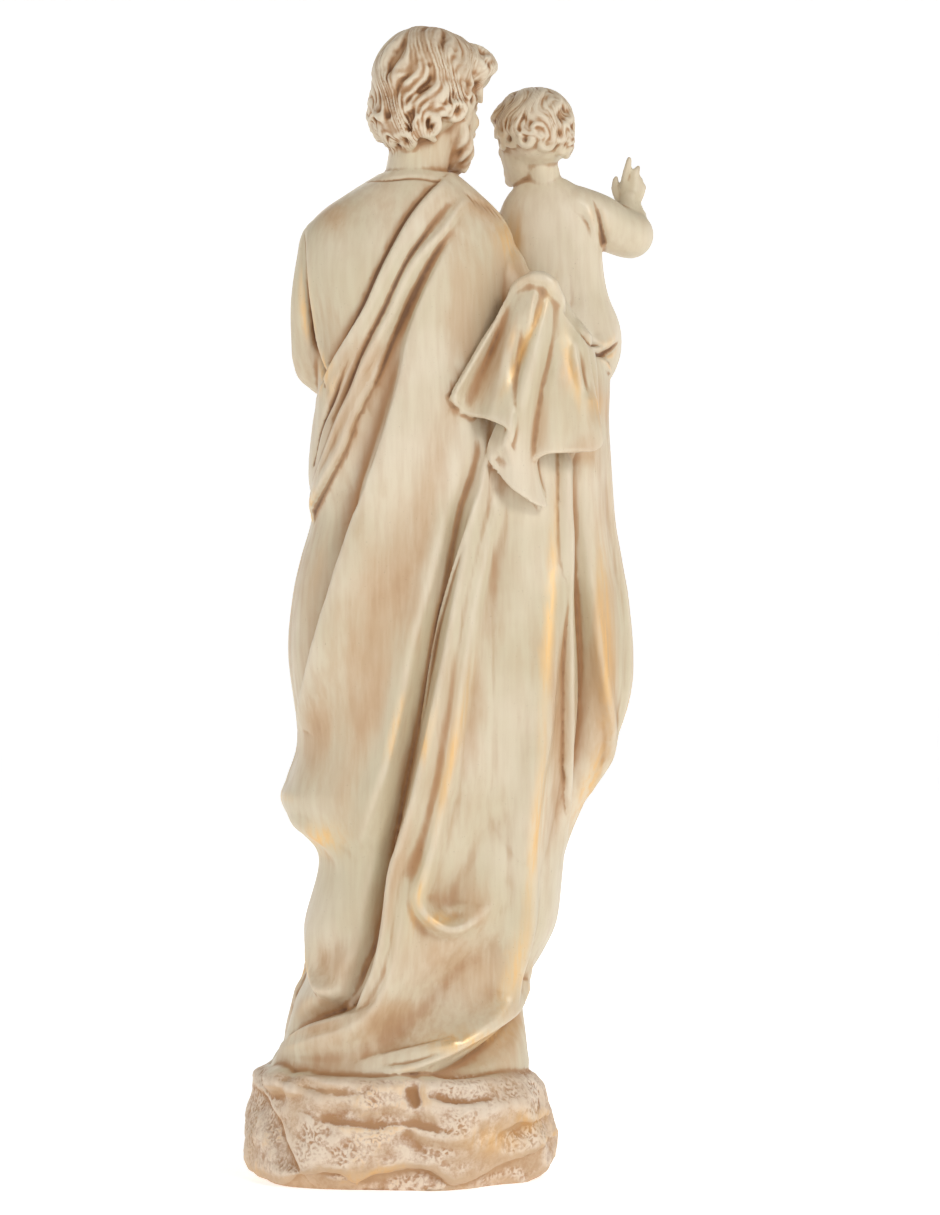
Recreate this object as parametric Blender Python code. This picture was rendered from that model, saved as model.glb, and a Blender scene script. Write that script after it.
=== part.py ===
"""A standing saint in a long mantle who carries a small child on the right forearm, cast in one with a rock.

The statue faces -Y, with its own left side at +X. The origin is the middle of the rock's underside.
Figure coordinates are millimetres above the rock's top on a figure FIGURE_MM tall, and to_metres scales them.
"""

import math

import bmesh
import bpy
import numpy as np
from mathutils import Euler, Matrix, Vector, noise
from mathutils.bvhtree import BVHTree

# Driving dimensions, in metres
FIGURE_HEIGHT = 0.555  # top of the rock to the top of the hair
ROCK_WIDTH = 0.174
ROCK_DEPTH = 0.138
ROCK_HEIGHT = 0.056
SKIN_CELLS = 370  # cells of the skin over the figure's height
TRIANGLES = 9600

FIGURE_MM = 555.0  # the figure's height in its own coordinates
MM = FIGURE_HEIGHT / FIGURE_MM


# Helpers
def smooth_curve(points, count):
    """count samples of a Catmull-Rom curve through the points, of any dimension."""
    p = np.asarray(points, float)
    ends = np.vstack([2 * p[0] - p[1], p, 2 * p[-1] - p[-2]])
    t = np.linspace(0, len(p) - 1, count)
    i = np.minimum(t.astype(int), len(p) - 2)
    f = (t - i)[:, None]
    a, b, c, d = ends[i], ends[i + 1], ends[i + 2], ends[i + 3]
    return 0.5 * (2 * b + (c - a) * f + (2 * a - 5 * b + 4 * c - d) * f**2 + (3 * b - a - 3 * c + d) * f**3)


def unit(v):
    return v / np.maximum(np.linalg.norm(v, axis=-1, keepdims=True), 1e-9)


class Clay:
    """Closed shapes that overlap, gathered until one skin is drawn over them."""

    def __init__(self):
        self.points = []
        self.faces = []
        self.count = 0

    def stack(self, rings):
        """A closed shape from a stack of rings that have the same number of points."""
        rings = np.asarray(rings, float)
        rows, around = rings.shape[:2]
        start = self.count
        self.points.append(rings.reshape(-1, 3))
        self.count += rows * around
        for j in range(rows - 1):
            for i in range(around):
                k = (i + 1) % around
                low = start + j * around
                self.faces.append((low + i, low + k, low + around + k, low + around + i))
        self.faces.append(tuple(start + i for i in reversed(range(around))))
        self.faces.append(tuple(start + (rows - 1) * around + i for i in range(around)))

    def loft(self, sections, around=72, step=4.0, power=2.0):
        """Draped mass from (z, left, right, front, back) sections: extents along +X, -X, -Y and +Y."""
        s = np.array(sorted(sections), float)
        rows = smooth_curve(s, max(6, int((s[-1, 0] - s[0, 0]) / step)))
        angle = np.linspace(0, 2 * math.pi, around, endpoint=False)
        cos, sin = np.cos(angle), np.sin(angle)
        cos = np.sign(cos) * np.abs(cos) ** (2 / power)
        sin = np.sign(sin) * np.abs(sin) ** (2 / power)
        rings = []
        for z, left, right, front, back in rows:
            cx, cy = (left + right) / 2, (front + back) / 2
            x = cx + cos * (left - right) / 2
            y = cy + sin * (back - front) / 2
            rings.append(np.stack([x, y, np.full(around, z)], 1))
        self.stack(rings)

    def tube(self, path, radii, around=20, flat=1.0, up=(0, 0, 1), step=2.0):
        """A round-ended tube along a curve. flat below 1 thins it along the direction nearest to up."""
        path = np.asarray(path, float)
        length = np.linalg.norm(np.diff(path, axis=0), axis=1).sum()
        count = max(8, int(length / step))
        line = smooth_curve(path, count)
        size = smooth_curve(np.asarray(radii, float)[:, None] * np.ones((1, 1)), count)[:, 0]
        along = unit(np.gradient(line, axis=0))
        up = unit(np.asarray(up, float) - (along @ np.asarray(up, float))[:, None] * along)
        side = np.cross(along, up)
        angle = np.linspace(0, 2 * math.pi, around, endpoint=False)
        cos, sin = np.cos(angle)[None, :, None], np.sin(angle)[None, :, None]
        rings = []

        def ring(k, share, push):
            r = size[k] * share
            rings.append(line[k] + along[k] * push + (side[k] * cos[0] + up[k] * flat * sin[0]) * r)

        for a in (80, 60, 40, 20):
            ring(0, math.cos(math.radians(a)), -size[0] * flat * math.sin(math.radians(a)))
        for k in range(count):
            ring(k, 1, 0)
        for a in (20, 40, 60, 80):
            ring(-1, math.cos(math.radians(a)), size[-1] * flat * math.sin(math.radians(a)))
        self.stack(rings)

    def blob(self, centre, radii, turn=(0, 0, 0), around=28):
        """An ellipsoid, turned by Euler angles in degrees."""
        turned = np.array(Euler([math.radians(a) for a in turn]).to_matrix())
        rings = []
        for lat in np.radians(np.linspace(-86, 86, around // 2)):
            angle = np.linspace(0, 2 * math.pi, around, endpoint=False)
            ring = np.stack([np.cos(angle) * math.cos(lat), np.sin(angle) * math.cos(lat),
                np.full(around, math.sin(lat))], 1)
            rings.append((ring * np.asarray(radii, float)) @ turned.T + np.asarray(centre, float))
        self.stack(rings)

    def sheet(self, face, thick):
        """A cloth of one thickness on both sides of a grid of points (down, across)."""
        out = unit(np.cross(np.gradient(face, axis=1), np.gradient(face, axis=0)))
        self.stack(np.concatenate([face + out * thick / 2, (face - out * thick / 2)[:, ::-1]], axis=1))

    def add(self, other, place):
        """Another lump of clay, carried to its place by a function of its points."""
        for points in other.points:
            self.points.append(place(points))
        self.faces += [tuple(self.count + i for i in face) for face in other.faces]
        self.count += other.count

    def mesh(self, name):
        mesh = bpy.data.meshes.new(name)
        mesh.from_pydata(np.vstack(self.points).tolist(), [], self.faces)
        return mesh


def modified(mesh, kind, **settings):
    """The mesh after one modifier."""
    obj = bpy.data.objects.new("working", mesh)
    bpy.context.scene.collection.objects.link(obj)
    modifier = obj.modifiers.new("step", kind)
    for key, value in settings.items():
        setattr(modifier, key, value)
    bpy.context.view_layer.update()
    graph = bpy.context.evaluated_depsgraph_get()
    made = bpy.data.meshes.new_from_object(obj.evaluated_get(graph))
    bpy.data.objects.remove(obj)
    bpy.data.meshes.remove(mesh)
    return made


def read(mesh):
    co = np.empty(len(mesh.vertices) * 3, np.float32)
    mesh.vertices.foreach_get("co", co)
    return co.reshape(-1, 3).astype(float)


def normals(mesh):
    no = np.empty(len(mesh.vertices) * 3, np.float32)
    mesh.vertices.foreach_get("normal", no)
    return no.reshape(-1, 3).astype(float)


def write(mesh, co):
    mesh.vertices.foreach_set("co", co.astype(np.float32).ravel())
    mesh.update()


def surface_tree(mesh):
    """A tree to find points on the mesh's surface with."""
    mesh.calc_loop_triangles()
    triangles = np.empty(len(mesh.loop_triangles) * 3, np.int32)
    mesh.loop_triangles.foreach_get("vertices", triangles)
    return BVHTree.FromPolygons(read(mesh).tolist(), triangles.reshape(-1, 3).tolist())


SIDES = {"back": (0, -1, 0), "front": (0, 1, 0), "left": (-1, 0, 0), "right": (1, 0, 0)}


def on_surface(tree, side, points, spacing):
    """The fold's curve (a, z, rise) laid on the surface seen from one side: points, their normals and rises.
    a is x seen from the back or front, and y seen from the left or right."""
    points = np.asarray(points, float)
    length = np.linalg.norm(np.diff(points[:, :2], axis=0), axis=1).sum()
    curve = smooth_curve(points, max(6, int(length / spacing)))
    way = Vector(SIDES[side])
    found, facing, rise = [], [], []
    for a, z, h in curve:
        for step_in in range(40):
            a_in = a * (1 - 0.02 * step_in)
            start = Vector((a_in, 0, z)) if side in ("back", "front") else Vector((0, a_in, z))
            hit, normal, _, _ = tree.ray_cast(start - way * 300, way)
            if hit is not None and normal.dot(way) < -0.12:
                break
        if hit is None:
            hit, normal, _, _ = tree.find_nearest(start - way * 40)
        found.append(hit)
        facing.append(normal)
        rise.append(h)
    found, facing = np.array(found, float), np.array(facing, float)
    for _ in range(4):
        facing[1:-1] = unit(facing[:-2] + facing[1:-1] + facing[2:])
        found[1:-1] = (found[:-2] + 2 * found[1:-1] + found[2:]) / 4
    return found, facing, np.array(rise)


def fold(co, no, line, facing, rise, left, right):
    """Raises (or lowers) the skin along a line that runs down. It falls off over left and right, seen from
    outside; towards a line that runs to the left, left is above it."""
    reach = 2.4 * max(left, right)
    low, high = line.min(0) - reach, line.max(0) + reach
    near = np.flatnonzero(((co > low) & (co < high)).all(1))
    if not len(near):
        return
    starts, steps = line[:-1], np.diff(line, axis=0)
    squares = np.maximum((steps**2).sum(1), 1e-9)
    across = unit(np.cross(unit(np.gradient(line, axis=0)), facing))
    for part in np.array_split(near, max(1, len(near) * len(line) // 3_000_000)):
        away = co[part][:, None, :] - starts[None]
        share = np.clip((away * steps[None]).sum(2) / squares, 0, 1)
        away -= share[:, :, None] * steps[None]
        nearest = np.argmin((away**2).sum(2), axis=1)
        pick = np.arange(len(part))
        away, t = away[pick, nearest], share[pick, nearest][:, None]
        side = (away * (across[nearest] * (1 - t) + across[nearest + 1] * t)).sum(1)
        outward = facing[nearest] * (1 - t) + facing[nearest + 1] * t
        width = right + (left - right) * (0.5 + 0.5 * np.tanh(side / (0.4 * min(left, right))))
        height = rise[nearest] * (1 - t[:, 0]) + rise[nearest + 1] * t[:, 0]
        same_side = np.clip((no[part] * outward).sum(1) * 2 + 0.6, 0, 1)
        co[part] += no[part] * (height * np.exp(-(away**2).sum(1) / width**2) * same_side)[:, None]


def carve(mesh, folds, spacing=3.0, deeper=1.0):
    """Each fold is (side, [(across, z, rise)], left, right)."""
    tree = surface_tree(mesh)
    co, no = read(mesh), normals(mesh)
    for side, points, left, right in folds:
        line, facing, rise = on_surface(tree, side, points, spacing)
        fold(co, no, line, facing, rise * deeper, left, right)
    write(mesh, co)


# The saint's body and drapery
# Sections are (z, left, right, front, back).
BODY = [
    (-12, 66, -66, -50, 50),
    (4, 69, -69, -51, 52),
    (14, 63, -68, -49, 50),
    (39, 56, -66, -47, 47),
    (52, 50, -69, -47, 47),
    (66, 51, -77, -47, 48),
    (82, 51, -84, -47, 49),
    (108, 44, -87, -47, 50),
    (120, 45, -88, -47, 50),
    (131, 55, -88, -48, 51),
    (146, 63, -88, -48, 52),
    (158, 59, -89, -48, 53),
    (180, 53, -89, -49, 54),
    (223, 58, -89, -51, 55),
    (253, 56, -88, -51, 54),
    (274, 52, -86, -50, 53),
    (299, 46, -82, -48, 50),
    (319, 49, -78, -46, 49),
    (345, 47, -72, -43, 46),
    (365, 44, -66, -40, 44),
    (394, 45, -62, -38, 41),
    (424, 52, -62, -36, 41),
    (444, 52, -61, -33, 37),
    (458, 44, -54, -27, 32),
    (470, 27, -42, -20, 27),
    (480, 11, -30, -14, 21),
]
# The mantle that hangs from the forearm under the child.
SLING = [
    (388, -72, -110, -62, 8),
    (372, -62, -113, -70, 20),
    (340, -60, -112, -70, 27),
    (299, -58, -112.5, -66, 29),
    (274, -56, -116, -63, 29),
    (253, -56, -119.5, -60, 28),
    (223, -56, -122, -56, 26),
    (199, -56, -120, -52, 24),
    (167, -58, -110, -46, 20),
    (146, -60, -100, -40, 17),
    (125, -62, -91, -32, 13),
    (108, -66, -86, -24, 10),
]
# The flat panel of the mantle between the middle and the right, down to the train.
PANEL = [
    (366, -42, -78, -8, 28),
    (352, -36, -83, -10, 37),
    (319, -28, -84, -10, 43),
    (295, -24, -84, -10, 45.5),
    (274, -19, -84.5, -10, 46.5),
    (247, -13, -85, -10, 48),
    (220, -8, -85, -10, 49),
    (194, -2, -84.5, -10, 49),
    (167, 4, -83.5, -10, 48),
    (140, 8, -81.5, -10, 46.5),
    (116, 4, -79, -10, 43),
    (92, -8, -75, -10, 39),
    (72, -30, -69, -10, 32),
]
CHILD_BODY = [
    (366, -64, -109, -60, -10),
    (376, -58, -116, -64, -8),
    (388, -56, -119.5, -64, -7),
    (402, -56, -118.5, -58, -9),
    (418, -53, -112, -52, -10),
    (437, -51, -109, -49, -10),
    (452, -52, -109, -46, -12),
    (464, -54, -107, -43, -14),
    (473, -59, -100, -40, -17),
    (480, -67, -89, -36, -21),
]


def saint_body(clay):
    clay.loft(BODY)
    clay.loft(SLING, around=48)
    clay.loft(PANEL, around=48, power=2.5)
    # Neck, then the left arm, which bends across the front, and the right arm under the child.
    clay.tube([(-7, 5, 462), (-9, 3, 482), (-13, 0, 502)], [19, 16.5, 17])
    clay.tube([(38, 1, 442), (43, -3, 412), (43, -12, 384)], [16, 15.5, 15.5])
    clay.tube([(42, -14, 380), (28, -40, 376), (10, -60, 374)], [15.5, 14.5, 12.5])
    clay.tube([(-42, 1, 441), (-60, 3, 412), (-80, 2, 378)], [17, 18, 17])
    clay.tube([(-80, 2, 370), (-84, -30, 366), (-80, -66, 366)], [16, 15, 13])


def child_body(clay):
    clay.loft(CHILD_BODY, around=48)
    clay.tube([(-78, -29, 468), (-77, -28, 480), (-74, -27, 490)], [11, 9.6, 10])
    # Right arm, raised to bless: the full sleeve, its turned rim and the bare wrist.
    clay.tube([(-93, -29, 463), (-106, -32, 458), (-116, -36, 453), (-124, -39, 450.5)],
        [14, 14.4, 13.4, 13.2])
    clay.tube([(-123, -40, 451), (-124, -43, 458), (-124, -44, 463)], [13, 10.5, 8])
    turn = np.linspace(0, 2 * math.pi, 17)
    rim = np.stack([-123.8 + 8.4 * np.cos(turn), -44 + 6.6 * np.sin(turn),
        464.5 - 1.8 * np.cos(turn) ** 2 + 0.8 * np.cos(turn)], 1)
    clay.tube(rim, [1.4] * 17, around=10)
    clay.tube([(-124, -44, 460), (-124.4, -45, 470)], [6.4, 5.8])
    # Left arm, laid on the saint's chest.
    clay.tube([(-62, -32, 456), (-54, -46, 446), (-44, -54, 440)], [11, 10, 9])
    clay.tube([(-44, -54, 440), (-34, -50, 444), (-26, -44, 448)], [8.5, 7, 5.5])
    # Thighs along the forearm and shins that hang, both in the tunic.
    for x in (-72, -94):
        clay.tube([(x, -40, 382), (x + 3, -62, 386), (x + 8, -84, 380)], [17, 15, 12.5])
        clay.tube([(x + 8, -84, 380), (x + 10, -86, 362), (x + 13, -84, 344)], [12.5, 11.5, 10.5])
    clay.blob((-78, -66, 380), (20, 22, 13))


def hand(clay, wrist, along, palm_normal, size, bend, spread=0.04, thumb=1.0, curl=(0, 0, 0, 0)):
    """A hand from wrist along a direction. bend curls the fingers to the palm; curl adds to each finger."""
    wrist = np.asarray(wrist, float)
    along = unit(np.asarray(along, float))
    out = unit(np.asarray(palm_normal, float))
    out = unit(out - (out @ along) * along)
    across = np.cross(along, out) * thumb
    knuckle = wrist + along * 0.45 * size
    clay.tube([wrist, wrist + along * 0.2 * size, knuckle], [0.14 * size, 0.2 * size, 0.19 * size],
        flat=0.55, up=out)
    for k in range(4):
        offset = (1.5 - k) * 0.115 * size
        base = knuckle + across * offset - along * 0.02 * abs(k - 1) * size
        way = unit(along + across * (1.5 - k) * spread)
        length = size * (0.5, 0.56, 0.52, 0.42)[k]
        pts, point = [base - along * 0.1 * size, base], base
        turn = bend + curl[k]
        for j, share in enumerate((0.42, 0.33, 0.25)):
            angle = math.radians(turn * (j + 1))
            step = way * math.cos(angle) - out * math.sin(angle)
            point = point + step * share * length
            pts.append(point)
        clay.tube(pts, np.array([0.078, 0.078, 0.074, 0.070, 0.062]) * size, around=12, up=out, step=0.8)
    root = wrist + along * 0.14 * size + across * 0.14 * size
    tip = root + (along * 0.62 + across * 0.62 - out * 0.25) * 0.45 * size
    clay.tube([root, (root + tip) / 2 + across * 0.03 * size, tip],
        [0.085 * size, 0.072 * size, 0.05 * size], around=12, up=out, step=0.8)


def blessing_hand(clay):
    """The child's right hand: two fingers up, two curled over the palm, the thumb beside them."""
    clay.blob((-124.8, -45.5, 474.5), (6.6, 3.9, 7.4))
    clay.tube([(-121.5, -45.5, 475), (-121.8, -45, 482), (-123.2, -44, 488), (-124, -43.5, 492)],
        [2.7, 2.3, 2.1, 1.7], around=14, step=0.8)
    clay.tube([(-125.6, -45.5, 475), (-126.2, -44.8, 481), (-127.6, -45, 485), (-129, -46.5, 487.5)],
        [2.8, 2.4, 2.2, 1.7], around=14, step=0.8)
    for x, z in ((-129.2, 480.4), (-131, 476.6)):
        clay.tube([(x + 2, -44.5, z - 6), (x, -45.5, z - 0.5), (x, -49, z + 0.4), (x + 0.6, -51, z - 3)],
            [2.6, 2.4, 2.2, 1.8], around=14, step=0.8)
    clay.tube([(-119.4, -46, 469), (-116.6, -47.5, 475), (-116.4, -48, 479), (-117, -48.5, 482)],
        [2.9, 2.4, 2.1, 1.7], around=14, step=0.8)


def foot(clay, heel, toe, size):
    """A bare foot, from heel to toe, with five toes."""
    heel, toe = np.asarray(heel, float), np.asarray(toe, float)
    along = unit(toe - heel)
    side = unit(np.cross(along, (0, 0.3, 1)))
    top = np.cross(side, along)
    middle = (heel + toe) / 2 + top * size * 0.1
    clay.tube([heel, middle, toe], np.array([0.2, 0.21, 0.22]) * size, flat=0.6, around=18, up=top)
    for k in range(5):
        thick = size * (0.095 if k == 0 else 0.066)
        tip = toe + side * (1.8 - k) * size * 0.095 + along * size * (0.24 - 0.035 * k) - top * size * 0.03
        clay.tube([tip - along * size * 0.12, tip], [thick, thick * 0.95], around=12, step=0.8)


# Heads
def head_shape(clay, beard):
    """Skull and face in a frame of one head height: crown at 0.5, chin at -0.5, face towards -Y."""
    clay.blob((0, 0.06, 0.10), (0.325, 0.40, 0.39))
    clay.blob((0, -0.10, -0.12), (0.265, 0.27, 0.34))
    clay.blob((0, -0.17, -0.33), (0.17, 0.19, 0.17))
    clay.blob((0, -0.305, -0.415), (0.085, 0.075, 0.075))
    # Brow, nose with its wings, eyes with their lids, cheeks, lips and ears.
    clay.tube([(-0.20, -0.26, 0.075), (0, -0.345, 0.09), (0.20, -0.26, 0.075)], [0.05, 0.055, 0.05],
        around=14, step=0.03)
    clay.tube([(0, -0.34, 0.09), (0, -0.385, -0.02), (0, -0.435, -0.13), (0, -0.40, -0.155)],
        [0.03, 0.034, 0.048, 0.035], around=14, step=0.02)
    for s in (-1, 1):
        clay.blob((s * 0.045, -0.375, -0.145), (0.032, 0.038, 0.028))
        clay.blob((s * 0.125, -0.285, 0.0), (0.062, 0.055, 0.045))
        clay.blob((s * 0.155, -0.24, -0.13), (0.085, 0.085, 0.08))
        clay.blob((s * 0.315, 0.03, -0.06), (0.03, 0.06, 0.10), turn=(0, 0, s * 15))
    clay.tube([(-0.08, -0.325, -0.245), (0, -0.372, -0.23), (0.08, -0.325, -0.245)],
        [0.016, 0.026, 0.016], around=12, step=0.02)
    clay.tube([(-0.07, -0.325, -0.275), (0, -0.365, -0.28), (0.07, -0.325, -0.275)],
        [0.016, 0.028, 0.016], around=12, step=0.02)
    if not beard:
        return
    # A short beard of locks down from each cheek to the chin, and a moustache.
    for k in range(9):
        turn = math.radians(-80 + 20 * k)
        sway = 0.03 * (-1) ** k
        x, y = 0.25 * math.sin(turn), -0.05 - 0.26 * math.cos(turn)
        top = (x, y, -0.20 - 0.12 * math.cos(turn))
        low = (x * 0.5 + sway, y * 0.96 - 0.02, -0.37 - 0.12 * math.cos(turn))
        middle = (x * 0.92, y - 0.02, (top[2] + low[2]) / 2)
        clay.tube([top, middle, low], [0.035, 0.048, 0.026], around=12, step=0.03)
    for s in (-1, 1):
        clay.tube([(0, -0.375, -0.195), (s * 0.08, -0.345, -0.215), (s * 0.13, -0.29, -0.29)],
            [0.022, 0.03, 0.016], around=12, step=0.02)


HAIR_CENTRE = np.array([0, 0.05, 0.04])
SAINT_SHELL = [
    ((0, 0.06, 0.11), (0.350, 0.420, 0.430)),
    ((0, 0.19, -0.16), (0.29, 0.25, 0.27)),
    ((0.17, 0.15, -0.08), (0.225, 0.225, 0.25)),
    ((-0.15, 0.14, -0.08), (0.20, 0.21, 0.24)),
    ((-0.15, -0.16, 0.25), (0.22, 0.22, 0.17)),
    ((0.13, -0.17, 0.25), (0.20, 0.20, 0.16)),
]
CHILD_SHELL = [
    ((0, 0.06, 0.11), (0.375, 0.435, 0.450)),
    ((0, 0.17, -0.09), (0.33, 0.26, 0.22)),
    ((0.17, -0.16, 0.20), (0.20, 0.20, 0.17)),
    ((-0.15, -0.16, 0.22), (0.19, 0.19, 0.16)),
]


def shell_reach(way, shell):
    """How far the hair's volume reaches from its centre in a direction."""
    best = 0.0
    for centre, radii in shell:
        offset, radii = HAIR_CENTRE - centre, np.asarray(radii)
        a = ((way / radii) ** 2).sum()
        b = (way * offset / radii**2).sum()
        c = ((offset / radii) ** 2).sum() - 1
        if b * b > a * c:
            best = max(best, (-b + math.sqrt(b * b - a * c)) / a)
    return best


def hair_point(azimuth, down, shell, lift=0.0):
    """A point on the hair. azimuth is 0 at the back and grows to the left ear; down is from the crown."""
    a, d = math.radians(azimuth), math.radians(down)
    way = np.array([math.sin(a) * math.sin(d), math.cos(a) * math.sin(d), math.cos(d)])
    return HAIR_CENTRE + way * (shell_reach(way, shell) + lift)


def hair_end(azimuth, back, side, front):
    """How far down a lock goes, in degrees from the crown, at the back, over the ear and at the forehead."""
    a = abs((azimuth + 180) % 360 - 180)
    if a < 90:
        return back + (side - back) * (a / 90) ** 2
    return side + (front - side) * min(1, (a - 90) / 50)


def hair_sway(azimuth, share, style):
    """How far hair from this azimuth has swung sideways, in degrees, a share of the way down."""
    wave, turns = style
    a = np.radians(azimuth)
    phase = 0.45 * np.sin(a + 0.4) + 0.30 * np.sin(2 * a + 1.3) + 0.12 * np.sin(5 * a)
    return wave * np.sin(2 * math.pi * (turns * share + phase)) * np.minimum(1, 1.8 * share)


def lock(clay, azimuth, ends, shell, width, style, start=5.0, drift=0.0, hook=0.0):
    """A wavy lock from the crown down, whose end can hook sideways and stand off."""
    path = []
    for k in range(18):
        t = k / 17
        down = start + (ends - start) * t
        spread = 1 / max(math.sin(math.radians(down)), 0.5)
        flip = max(0, t - 0.78) / 0.22
        turn = azimuth + (hair_sway(azimuth, t,
            style) + hook * flip**2 + drift * math.sin(5 * t + azimuth)) * spread
        lift = 0.1 + (0.55 if ends > 80 else 0.15) * flip**2 - 0.55 * (1 - t) ** 2
        path.append(hair_point(turn, down, shell, width * lift))
    clay.tube(path, np.array([0.55, 0.85, 1.0, 1.0, 0.9, 0.45]) * width, around=14, step=0.035)


def curl(clay, azimuth, down, shell, size, turns=1.4, tube=0.032, way=1):
    """A ring-shaped curl that lies on the hair and winds in to a hollow."""
    centre = hair_point(azimuth, down, shell)
    out = unit(centre - HAIR_CENTRE)
    side = unit(np.cross(out, [0, 0, 1]))
    up = np.cross(side, out)
    path = []
    for k in range(18):
        t = k / 17
        angle = way * 2 * math.pi * turns * t + 0.8
        r = size * (1 - 0.60 * t)
        path.append(centre + out * (0.045 - 0.06 * t) + (side * math.cos(angle) + up * math.sin(angle)) * r)
    clay.tube(path, np.array([0.5, 1, 1.1, 0.9, 0.5]) * tube, around=12, up=out, step=0.02)


def shell_blobs(clay, shell):
    for centre, radii in shell:
        clay.blob(centre, np.asarray(radii) * 0.985)


SAINT_STYLE = (10.0, 1.55)
CHILD_STYLE = (14.0, 1.15)
SAINT_LENGTHS = (152, 124, 64)
CHILD_LENGTHS = (112, 98, 62)


def saint_hair(clay):
    shell_blobs(clay, SAINT_SHELL)
    for k in range(26):
        azimuth = k * 360 / 26 + 3 * math.sin(k * 2.4)
        ends = hair_end(azimuth, *SAINT_LENGTHS) + 7 * math.sin(k * 1.7)
        lock(clay, azimuth, ends, SAINT_SHELL, 0.054, SAINT_STYLE, hook=14 * (-1) ** (k // 2))
    for k in range(17):
        azimuth = 9 + k * 360 / 17 + 5 * math.sin(k * 1.9)
        ends = hair_end(azimuth, 134, 112, 66) + 9 * math.sin(k * 2.9)
        lock(clay, azimuth, ends, SAINT_SHELL, 0.050, SAINT_STYLE, start=24, drift=4, hook=24 * (-1) ** k)
    rings = ((19, 131, 0.105, 1), (-45, 136, 0.105, -1), (-12, 148, 0.075, 1), (60, 124, 0.09, -1),
        (-80, 122, 0.075, 1))
    for azimuth, down, size, way in rings + ((96, 118, 0.075, 1), (-106, 104, 0.065, -1)):
        curl(clay, azimuth, down, SAINT_SHELL, size, way=way)


def child_hair(clay):
    shell_blobs(clay, CHILD_SHELL)
    for k in range(20):
        azimuth = k * 18 + 5 * math.sin(k * 2.1)
        ends = hair_end(azimuth, *CHILD_LENGTHS) + 7 * math.sin(k * 1.3)
        lock(clay, azimuth, ends, CHILD_SHELL, 0.056, CHILD_STYLE, hook=26 * (-1) ** k)
    for k in range(11):
        azimuth = 15 + k * 360 / 11 + 5 * math.sin(k * 2.7)
        lock(clay, azimuth, hair_end(azimuth, 96, 88, 58), CHILD_SHELL, 0.050, CHILD_STYLE, start=30,
            drift=6, hook=-26 * (-1) ** k)
    for k in range(15):
        azimuth = -112 + k * 16 + 4 * math.sin(k * 2.7)
        down = 116 - 18 * (k % 2) - 0.08 * abs(azimuth)
        curl(clay, azimuth, down, CHILD_SHELL, 0.092, tube=0.034, way=1 - 2 * (k % 2))


def head_turn(head):
    """The head's axes in the figure. yaw turns the face towards +X, pitch nods it and roll tilts it."""
    angles = [math.radians(head[name]) for name in ("pitch", "roll", "yaw")]
    return np.array(Euler(angles, "XYZ").to_matrix())


def placed(head):
    """Carries head coordinates to the figure."""
    turned = head_turn(head)
    return lambda p: np.asarray(p) * head["height"] @ turned.T + np.asarray(head["centre"], float)


SAINT_HEAD = dict(height=71, centre=(-17.5, -5, 519.5), yaw=-42, pitch=12, roll=7)
CHILD_HEAD = dict(height=49, centre=(-70, -27, 501), yaw=38, pitch=6, roll=-8)


def heads(clay):
    for hair, beard, place in ((saint_hair, True, SAINT_HEAD), (child_hair, False, CHILD_HEAD)):
        lump = Clay()
        head_shape(lump, beard)
        hair(lump)
        clay.add(lump, placed(place))


def limbs(clay):
    blessing_hand(clay)
    hand(clay, (-29, -44, 447), (1, 0.25, 0.15), (0.1, -0.9, 0.4), 25, 10)
    hand(clay, (12, -60, 374), (-1, -0.35, 0.02), (0.25, -0.95, 0.1), 46, 14, thumb=-1)
    hand(clay, (-80, -66, 364), (0.75, -0.7, -0.1), (-0.2, -0.3, -1), 42, 12)
    foot(clay, (-52, -86, 338), (-50, -94, 326), 24)
    foot(clay, (-76, -86, 338), (-78, -94, 326), 24)
    foot(clay, (24, -40, 8), (30, -60, 6), 40)
    foot(clay, (-28, -36, 8), (-34, -56, 6), 40)


# The end of the mantle that hangs from a gather at the elbow. The gather is a curve of (x, z), and the hem
# under it is another, which folds back on itself twice and comes to a tip between.
GATHER = [(-60, 416.5), (-64, 419.4), (-70.5, 421.6), (-75.8, 419.8), (-79.2, 415.4), (-83.2, 409.5),
    (-89.4, 400.3), (-98.7, 387.1)]
HEM = [
    (-28.8, 362.4), (-27.9, 357.8), (-30.6, 352.7), (-36.8, 349.6),
    (-44.5, 348.3), (-50, 347.4), (-55.1, 344.3), (-58.5, 338.4),
    (-56.1, 333.8), (-50.7, 330.7), (-47, 327.3), (-50, 320.7),
    (-57.7, 311.9), (-67.7, 303.7), (-77.3, 298.9), (-74.7, 308.3),
    (-71.1, 316.8), (-70.5, 323), (-73.1, 327.3), (-80.1, 330.1),
    (-89.4, 330.7), (-98.7, 330.4), (-104.8, 331.5), (-107.3, 336.9),
]
# (place along the hem, width, rise just under the gather, half way down and at the hem) of each of its folds.
CLOTH_FOLDS = [
    (0.0, 1.6, 1, 4, 5),
    (2.9, 1.5, -2, -6, -3),
    (4.6, 1.1, 1, 6, 3),
    (6.9, 2.2, 6, -1, 12),
    (9.6, 1.5, 2, -7, -4),
    (12.5, 1.2, 6, 10, 5),
    (15.6, 1.5, -2, -6, -8),
    (18.2, 1.4, 0, 3, 4),
    (21.0, 2.2, 2, 4, 5),
]
# (place along the hem, width, sideways bow) of the folds that swing to the left on their way down.
CLOTH_BOW = (14.2, 2.8, 14)
CLOTH_THICK = 4.0


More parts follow.
